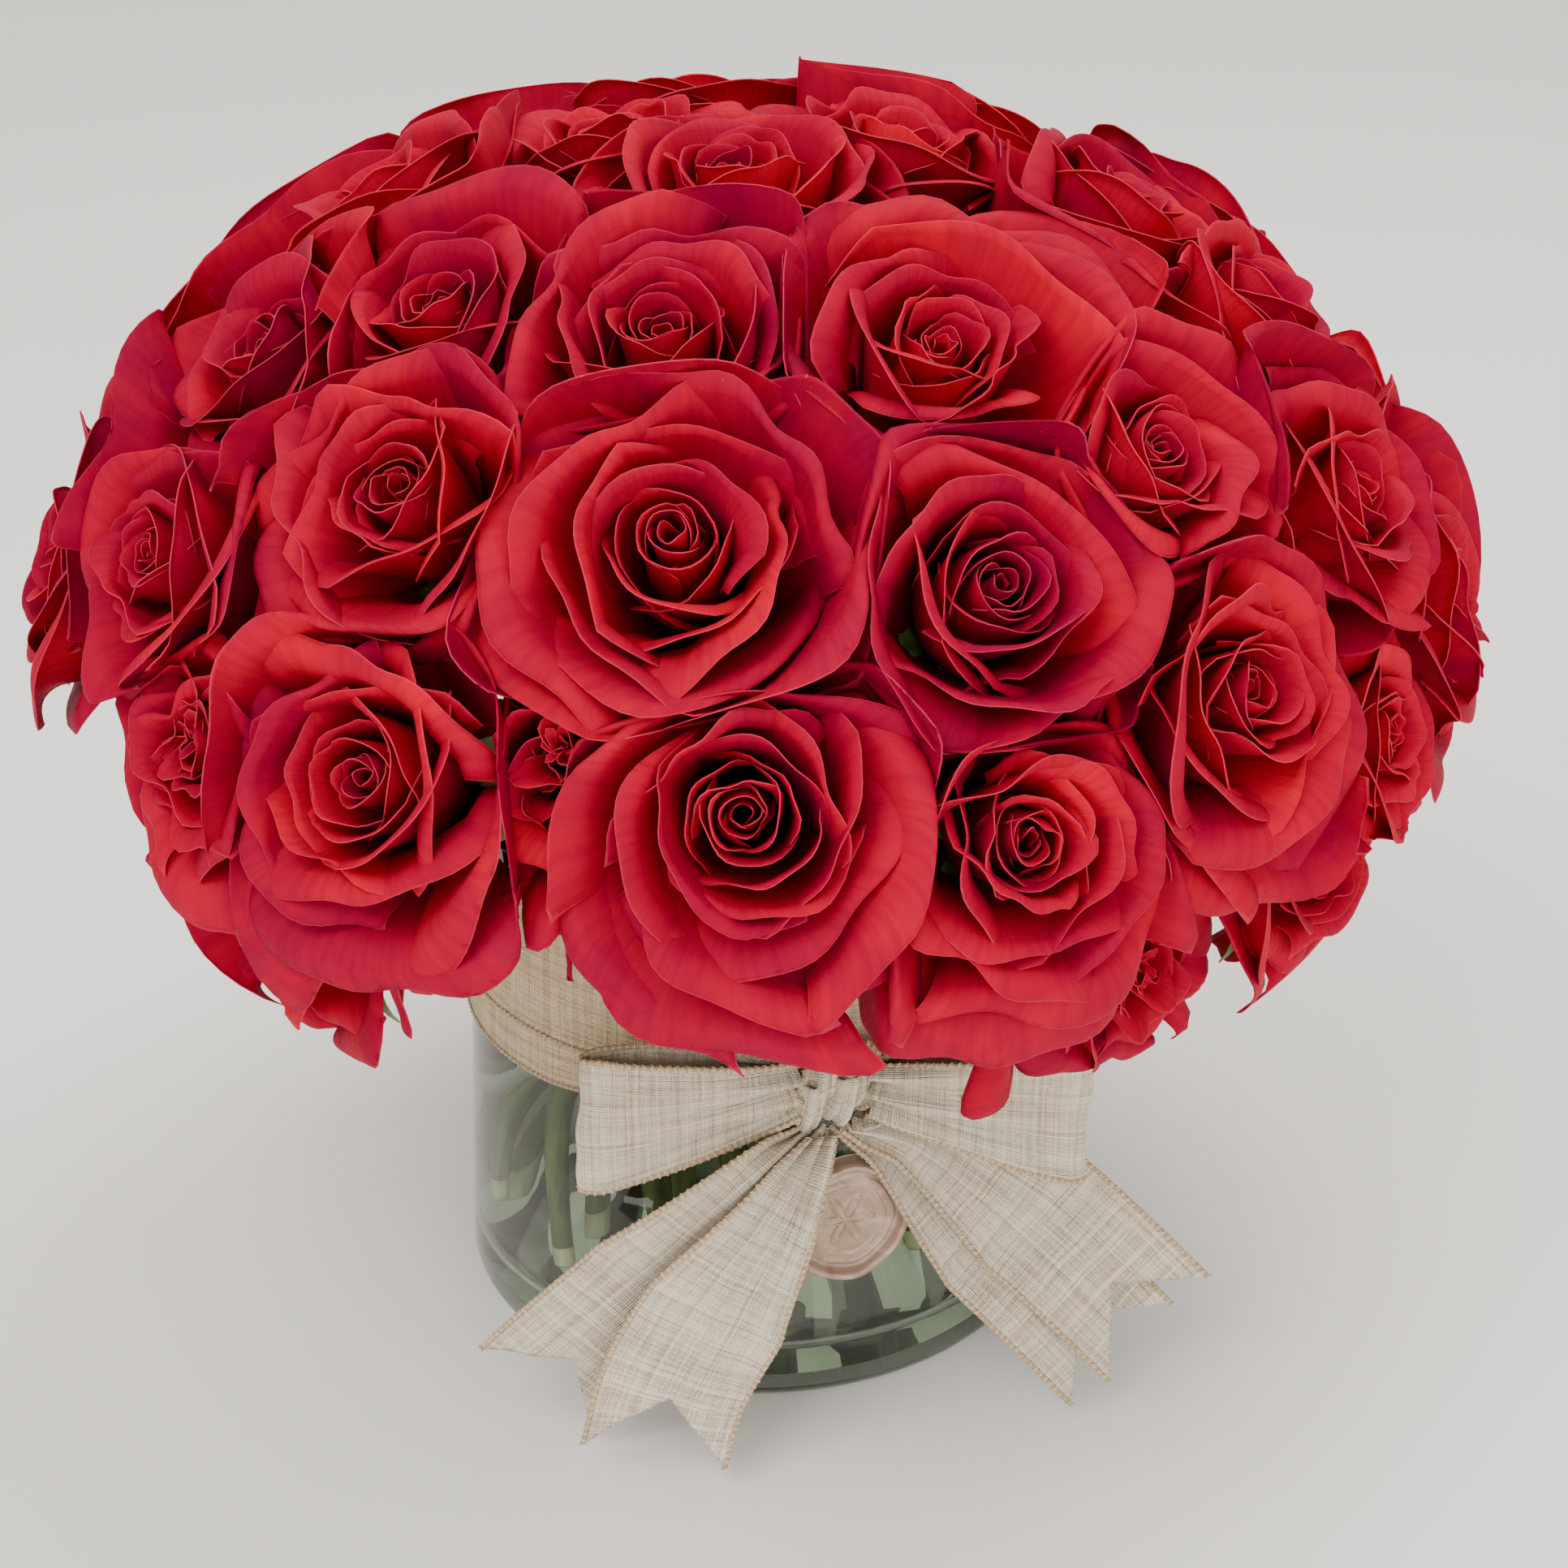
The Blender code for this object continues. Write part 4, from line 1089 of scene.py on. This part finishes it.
# %% Make the loops
def make_loop(side, sign, out, swing, seed):
    dice = np.random.default_rng(seed)
    turn = np.linspace(0, math.pi, 96)
    reach = np.sin(turn) ** 0.75
    bulge = 9 * np.cos(turn) * (0.28 + 0.72 * np.sin(turn) ** 0.5)
    right = sign * (9.4 + 58 * reach)
    line = np.array([bow_point(r, out + b + swing * k, -9 * k) for r, b, k in zip(right, bulge, reach)])
    even = run_length(line)
    line, wanted = evenly(line, len(turn))
    reach = np.interp(wanted, even, reach)
    widths = (14 + 26 * np.clip(reach * 1.1, 0, 1)) * MM
    across = np.broadcast_to([0, 0, 1.0], line.shape)
    phase = dice.uniform(0, 6, 4)

    def folds(v, s):
        near = np.clip(1 - reach / 0.85, 0, 1)[None, :] ** 1.3
        pleats = 2.4 * near * np.cos(v * math.pi * 2.5 + phase[0])
        wave = 0.9 * np.sin(v * 2.4 + s * 9 + phase[1]) * (1 - near)
        ripple = 0.3 * np.sin(v * 8 + s * 21 + phase[2])
        return pleats + wave + ripple

    grid, places = lay_ribbon(line, across, widths, folds, None, 33)
    made = sew("loop_" + side, grid, places, bow_linen, "bow_loop_" + side)
    return declare(made, even[-1])


loops = [make_loop("left", -1, 0, -8, 61), make_loop("right", 1, 4, 12, 62)]


# %% Wrap the knot
def make_knot():
    turn = np.linspace(0, 2 * math.pi * 1.06, 88)
    squash = 1 - 0.08 * np.cos(2 * turn)
    grow = 0.5 * turn / turn[-1]
    outward = (7.0 + grow) * squash * np.cos(turn)
    up = (11.2 + grow) * np.sin(turn)
    slant = 2.0 * np.sin(turn + 0.6)
    line = np.array([bow_point(s, o, u) for s, o, u in zip(slant, outward, up)])
    across = np.broadcast_to(unit(bow_point(1, 0, 0.18) - bow_point(0, 0, 0)), line.shape)
    widths = (18.5 + 3.0 * np.cos(turn)) * MM
    pleat = np.random.default_rng(5).uniform(0, 6, 3)

    def folds(v, s):
        deep = 1.9 * np.sin(v * math.pi * 2.2 + pleat[0] + 1.6 * s)
        fine = 0.9 * np.sin(v * math.pi * 5.3 + pleat[1] - 3 * s)
        return deep + fine - 1.6 * v**4 - 1.0

    grid, places = lay_ribbon(line, across, widths, folds, None, 45)
    made = sew("knot_wrap", grid, places, bow_linen, "bow_knot")
    return declare(made, run_length(line)[-1])


knot = make_knot()

# %% [markdown]
# ## Band
# One long ribbon goes twice round the neck of the vase. The second turn climbs a step at the back, so a
# strip of the first turn shows below it. Slight creases run out from the knot.


# %% Wind the band
def make_band():
    steps = 420
    share = np.linspace(0, 1, steps)
    turned = share * 4 * math.pi
    climb = np.clip((turned - 2 * math.pi + 1.0) / 1.0, 0, 1)
    climb = climb * climb * (3 - 2 * climb)
    low = 94 + 14 * climb + 0.5 * np.sin(turned * 2.3)
    middle = (low + 20) * MM
    angle = BOW_AZIMUTH - math.pi / 2 + turned
    gap = 0.3 * MM + 0.4 * MM + 1.0 * MM * climb
    radius = np.array([vase_radius(h) for h in middle]) + gap
    line = np.stack([radius * np.cos(angle), radius * np.sin(angle), middle], axis=1)
    lean = (VASE_MOUTH_RADIUS - VASE_FOOT_RADIUS) / VASE_HEIGHT
    across = np.stack([lean * np.cos(angle), lean * np.sin(angle), np.ones(steps)], axis=1)
    widths = np.full(steps, RIBBON_WIDTH)

    def folds(v, s):
        from_knot = np.minimum(s % 0.5, 0.5 - s % 0.5) * 4 * math.pi
        creases = 0.5 * np.exp(-from_knot / 0.6) * np.sin(v * 9 + from_knot * 3)
        drift = 0.14 * np.sin(v * 3 + s * 60) + 0.1 * np.sin(v * 6 - s * 140)
        return -(0.15 + np.abs(creases) + np.abs(drift)) * np.where(s > 0.5, 1, 0.25)

    grid, places = lay_ribbon(line, across, widths, folds, None, 25)
    made = sew("band_linen_wrap", grid, places, band_linen, "ribbon_band", 0.5 * MM)
    return declare(made, run_length(line)[-1])


band = make_band()

# %% [markdown]
# ## Wax seal
# A round pool of pearly wax, pressed while soft: a thick lip that never comes out perfectly round, two fine
# rings, and a plain rosette in the middle. It is drawn as a height over a disc and closed at the back.


# %% Press the wax seal
def wax_finish():
    glow = {"Subsurface_Weight": 0.1, "Subsurface_Radius": (0.004, 0.003, 0.002), "Subsurface_Scale": 0.5}
    paint = Paint("pearl_wax", Metallic=0.15, Coat_Weight=0.25, Coat_Roughness=0.25, **glow)
    swirl = paint.noise((1, 1, 1), 120, 4, Distortion=1.5)
    low, middle, high = (0.3, 0.19, 0.13), (0.42, 0.29, 0.21), (0.56, 0.41, 0.32)
    colour = paint.ramp(swirl, (0.3, low), (0.55, middle), (0.8, high))
    pearl = paint.noise((1, 1, 1), 2600, 1)
    rough = paint.ramp(pearl, (0.3, 0.28), (0.7, 0.48))
    return paint.surface(Base_Color=colour, Roughness=rough, Normal=paint.bump(pearl, 0.0001, 0.25))


def seal_height(r, a):
    """Height of the wax (millimetres) at a share r of the radius and an angle a."""
    lip = 2.6 * np.exp(-(((r - 0.86) / 0.075) ** 4)) * (1 + 0.1 * np.sin(3 * a + 1) + 0.06 * np.sin(7 * a))
    rings = 0.7 * np.exp(-(((r - 0.68) / 0.02) ** 2)) + 0.6 * np.exp(-(((r - 0.56) / 0.018) ** 2))
    beads = 0.5 * np.exp(-(((r - 0.62) / 0.022) ** 2)) * (0.5 + 0.5 * np.cos(24 * a))
    petal = 0.24 + 0.14 * np.cos(6 * a)
    rosette = 0.7 * np.exp(-(((r - petal) / 0.04) ** 2)) + 0.6 * np.exp(-((r / 0.07) ** 2))
    outer = 0.55 * np.clip((r - 0.9) / 0.1, 0, 1) ** 2
    return 2.5 + lip + rings + beads + rosette - outer * 4


def make_seal():
    across, around = 46, 120
    share = np.linspace(0.0, 1, across)[1:]
    turn = np.linspace(0, 2 * math.pi, around, endpoint=False)
    r, a = np.meshgrid(share, turn)
    wobble = 1 + 0.012 * np.sin(3 * a) + 0.014 * np.sin(5 * a + 2) + 0.008 * np.sin(9 * a + 1)
    edge = 0.985 * SEAL_DIAMETER / 2 * wobble
    flat = np.stack([r * edge * np.cos(a), r * edge * np.sin(a), seal_height(r, a) * MM], axis=2)
    side = [(1.0, 1.2), (0.985, 0.5), (0.96, 0.1)]
    rows = [flat[:, i] for i in range(across - 1)]
    for scale, height in side:
        rim = edge[:, -1] * scale
        rows.append(np.stack([rim * np.cos(turn), rim * np.sin(turn), np.full(around, height * MM)], axis=1))
    shape = bmesh.new()
    top = shape.verts.new((0, 0, float(seal_height(np.array(0.0), np.array(0.0))) * MM))
    rings = [[shape.verts.new(p) for p in row] for row in rows]
    back = shape.verts.new((0, 0, 0.1 * MM))
    for i in range(around):
        j = (i + 1) % around
        shape.faces.new((top, rings[0][i], rings[0][j]))
        for near, far in zip(rings, rings[1:]):
            shape.faces.new((near[i], far[i], far[j], near[j]))
        shape.faces.new((rings[-1][j], rings[-1][i], back))
    bmesh.ops.recalc_face_normals(shape, faces=shape.faces)
    out = Vector((math.sin(SEAL_AZIMUTH), -math.cos(SEAL_AZIMUTH), 0))
    lean = (VASE_FOOT_RADIUS - VASE_MOUTH_RADIUS) / VASE_HEIGHT
    facing = (out + Vector((0, 0, lean))).normalized()
    seat = out * (vase_radius(SEAL_HEIGHT) + 0.3 * MM) + Vector((0, 0, SEAL_HEIGHT))
    shape.transform(Matrix.Translation(seat) @ facing.to_track_quat("Z", "Y").to_matrix().to_4x4())
    return settle(from_faces("seal_wax_disc", shape, wax_finish()), "seal_wax", "wax_seal")


seal = make_seal()
print("seal faces", len(seal.data.polygons))

# %% [markdown]
# ## What repeats along a line
# The ribbon's edges are whipped with thread every couple of millimetres, and thorns sit along the stems.
# Both repeat along a line, so one Geometry Nodes tree sets them: it turns wire edges into curves, makes
# points at an even spacing, and puts a small ring or a small cone on each, turned to the line and then a
# little at random. Its sizes are named inputs.


# %% A tree that sets small shapes along lines
def wires(lines):
    """A mesh of bare edges along several lines."""
    points, edges = [], []
    for line in lines:
        start = len(points)
        points += [tuple(map(float, p)) for p in line]
        edges += [(i, i + 1) for i in range(start, len(points) - 1)]
    mesh = bpy.data.meshes.new("wires")
    mesh.from_pydata(points, edges, [])
    return mesh


def new_tree(name, takes, sizes, gives):
    """A tree with its sockets, and a short way to add a node whose inputs are set or linked by name."""
    tree = bpy.data.node_groups.new(name, "GeometryNodeTree")
    tree.interface.new_socket(takes, in_out="INPUT", socket_type="NodeSocketGeometry")
    for size in sizes:
        tree.interface.new_socket(size, in_out="INPUT", socket_type="NodeSocketFloat")
    tree.interface.new_socket("Seed", in_out="INPUT", socket_type="NodeSocketInt")
    tree.interface.new_socket(gives, in_out="OUTPUT", socket_type="NodeSocketGeometry")

    def add(node_kind, settings=None, **inputs):
        node = tree.nodes.new(node_kind)
        for setting, value in (settings or {}).items():
            setattr(node, setting, value)
        for socket, value in inputs.items():
            socket = node.inputs[socket.replace("_", " ")]
            if isinstance(value, bpy.types.NodeSocket):
                tree.links.new(value, socket)
            else:
                socket.default_value = value
        return node

    return tree, add


def finish_tree(add, placed, surface, gives):
    """Make the copies real, smooth them, give them their finish and send them out."""
    real = add("GeometryNodeRealizeInstances", Geometry=placed.outputs[0])
    smooth = add("GeometryNodeSetShadeSmooth", Geometry=real.outputs[0])
    finished = add("GeometryNodeSetMaterial", Geometry=smooth.outputs[0], Material=surface)
    add("NodeGroupOutput", **{gives: finished.outputs[0]})


def row_tree(name, kind, surface):
    """Rings or cones along wires, with their sizes as named inputs."""
    tree, add = new_tree(name, "Wires", ("Spacing", "Width", "Height", "Slant", "Loose"), "Row")
    size = add("NodeGroupInput").outputs
    curve = add("GeometryNodeMeshToCurve", Mesh=size["Wires"]).outputs[0]
    even = add("GeometryNodeResampleCurve", {"mode": "LENGTH"}, Curve=curve, Length=size["Spacing"])
    if kind == "ring":
        circle = add("GeometryNodeCurvePrimitiveCircle", Resolution=8, Radius=size["Width"]).outputs[0]
        thread = add("GeometryNodeCurvePrimitiveCircle", Resolution=5, Radius=size["Height"]).outputs[0]
        shape = add("GeometryNodeCurveToMesh", Curve=circle, Profile_Curve=thread).outputs[0]
    else:
        sides = {"Vertices": 7, "Radius_Top": 0.12 * MM, "Radius_Bottom": size["Width"]}
        shape = add("GeometryNodeMeshCone", Depth=size["Height"], **sides).outputs[0]
    tangent = add("GeometryNodeInputTangent").outputs[0]
    along = add("FunctionNodeAlignRotationToVector", {"axis": "Z"}, Vector=tangent).outputs[0]
    spin = add("FunctionNodeRandomValue", {"data_type": "FLOAT"}, Seed=size["Seed"])
    spin.inputs[2].default_value = 0
    spin.inputs[3].default_value = 0.5 if kind == "ring" else 2 * math.pi
    about = add("ShaderNodeCombineXYZ", Z=spin.outputs[1])
    lean = add("ShaderNodeCombineXYZ", X=size["Slant"])
    for by in (about, lean):
        local = {"rotation_space": "LOCAL"}
        along = add("FunctionNodeRotateRotation", local, Rotation=along, Rotate_By=by.outputs[0]).outputs[0]
    varied = add("FunctionNodeRandomValue", {"data_type": "FLOAT"}, Seed=size["Seed"])
    tree.links.new(size["Loose"], varied.inputs[2])
    varied.inputs[3].default_value = 1.0
    spots = {"Points": even.outputs[0], "Rotation": along, "Scale": varied.outputs[1]}
    finish_tree(add, add("GeometryNodeInstanceOnPoints", Instance=shape, **spots), surface, "Row")
    return tree


def grow(name, mesh, tree, sizes, slot):
    """Run a tree on a mesh with the sizes given by name, and keep the result as a plain mesh."""
    seed = put(name + "_wires", mesh)
    modifier = seed.modifiers.new("row", "NODES")
    modifier.node_group = tree
    for item in tree.interface.items_tree:
        if item.name in sizes:
            modifier[item.identifier] = sizes[item.name]
    bpy.context.view_layer.update()
    ready = seed.evaluated_get(bpy.context.evaluated_depsgraph_get())
    plain = bpy.data.meshes.new_from_object(ready)
    plain.name = name
    bpy.data.objects.remove(seed)
    print(name, len(plain.polygons), "faces")
    return settle(put(name, plain), slot)


# %% Whip the ribbon's edges and set the thorns
def sewing_thread():
    paint = Paint("sewing_thread", Roughness=0.85, Sheen_Weight=0.1)
    twist = paint.noise((1, 1, 1), 900, 2)
    colour = paint.ramp(twist, (0.3, (0.36, 0.25, 0.14)), (0.7, (0.64, 0.5, 0.33)))
    return paint.surface(Base_Color=colour, Normal=paint.bump(twist, 0.0002, 0.5))


stitches = grow(
    "edge_stitches",
    wires(ribbon_edges),
    row_tree("stitches_along_edges", "ring", sewing_thread()),
    {"Spacing": 2.3 * MM, "Width": 0.95 * MM, "Height": 0.24 * MM, "Slant": 0.7, "Loose": 0.86, "Seed": 3},
    "linen",
)
thorns = grow(
    "stem_thorns",
    wires([rose.stem_line()[2:-4] for rose in roses]),
    row_tree("thorns_along_stems", "cone", stem_green),
    {"Spacing": 31 * MM, "Width": 2.0 * MM, "Height": 6.2 * MM, "Slant": 1.25, "Loose": 0.7, "Seed": 11},
    "rose",
)

# %% [markdown]
# ## Dew
# A few droplets sit on the upper petals of the biggest open rose. Points are scattered over a patch of its
# faces and a flattened bead is put on each.


# %% Scatter droplets
def dew_tree(surface):
    tree, add = new_tree("droplets_on_petals", "Petals", ("Density", "Radius"), "Droplets")
    size = add("NodeGroupInput").outputs
    patch = {"Mesh": size["Petals"], "Density": size["Density"], "Seed": size["Seed"]}
    spots = add("GeometryNodeDistributePointsOnFaces", **patch).outputs
    ball = add("GeometryNodeMeshUVSphere", Segments=10, Rings=6, Radius=size["Radius"]).outputs[0]
    bead = add("GeometryNodeTransform", Geometry=ball, Scale=(1, 1, 0.6)).outputs[0]
    varied = add("FunctionNodeRandomValue", Seed=size["Seed"])
    varied.inputs[2].default_value, varied.inputs[3].default_value = 0.45, 1.0
    beads = {"Instance": bead, "Rotation": spots["Rotation"], "Scale": varied.outputs[1]}
    placed = add("GeometryNodeInstanceOnPoints", Points=spots["Points"], **beads)
    finish_tree(add, placed, surface, "Droplets")
    return tree


def petal_patch(rose, bloom):
    """Faces on the upper, outer side of a bloom that look up and towards the front."""
    mesh = bloom.data
    count = len(mesh.polygons)
    middles, normals = np.empty(count * 3), np.empty(count * 3)
    finish = np.empty(count, dtype=np.int32)
    mesh.polygons.foreach_get("center", middles)
    mesh.polygons.foreach_get("normal", normals)
    mesh.polygons.foreach_get("material_index", finish)
    middles, normals = middles.reshape(-1, 3), normals.reshape(-1, 3)
    axis = np.array(rose.axis)
    up = np.array([0, 0, 1.0]) - axis * axis[2]
    up /= np.linalg.norm(up)
    from_face = middles - np.array(rose.face)
    chosen = (finish == 0) & (from_face @ up > 0.7 * rose.width / 2) & (from_face @ axis > -14 * MM)
    chosen &= normals @ axis > 0.5
    corners = [tuple(mesh.polygons[i].vertices) for i in np.nonzero(chosen)[0]]
    used = sorted({v for face in corners for v in face})
    number = {v: i for i, v in enumerate(used)}
    faces = [[number[v] for v in face] for face in corners]
    patch = bpy.data.meshes.new("petal_patch")
    patch.from_pydata([mesh.vertices[v].co for v in used], [], faces)
    return patch


dew = grow(
    "rose_17_dew",
    petal_patch(roses[OPEN_ROSE - 1], blooms[OPEN_ROSE - 1]),
    dew_tree(water.data.materials[0]),
    {"Density": 26000.0, "Radius": 0.6 * MM, "Seed": 4},
    "water",
)
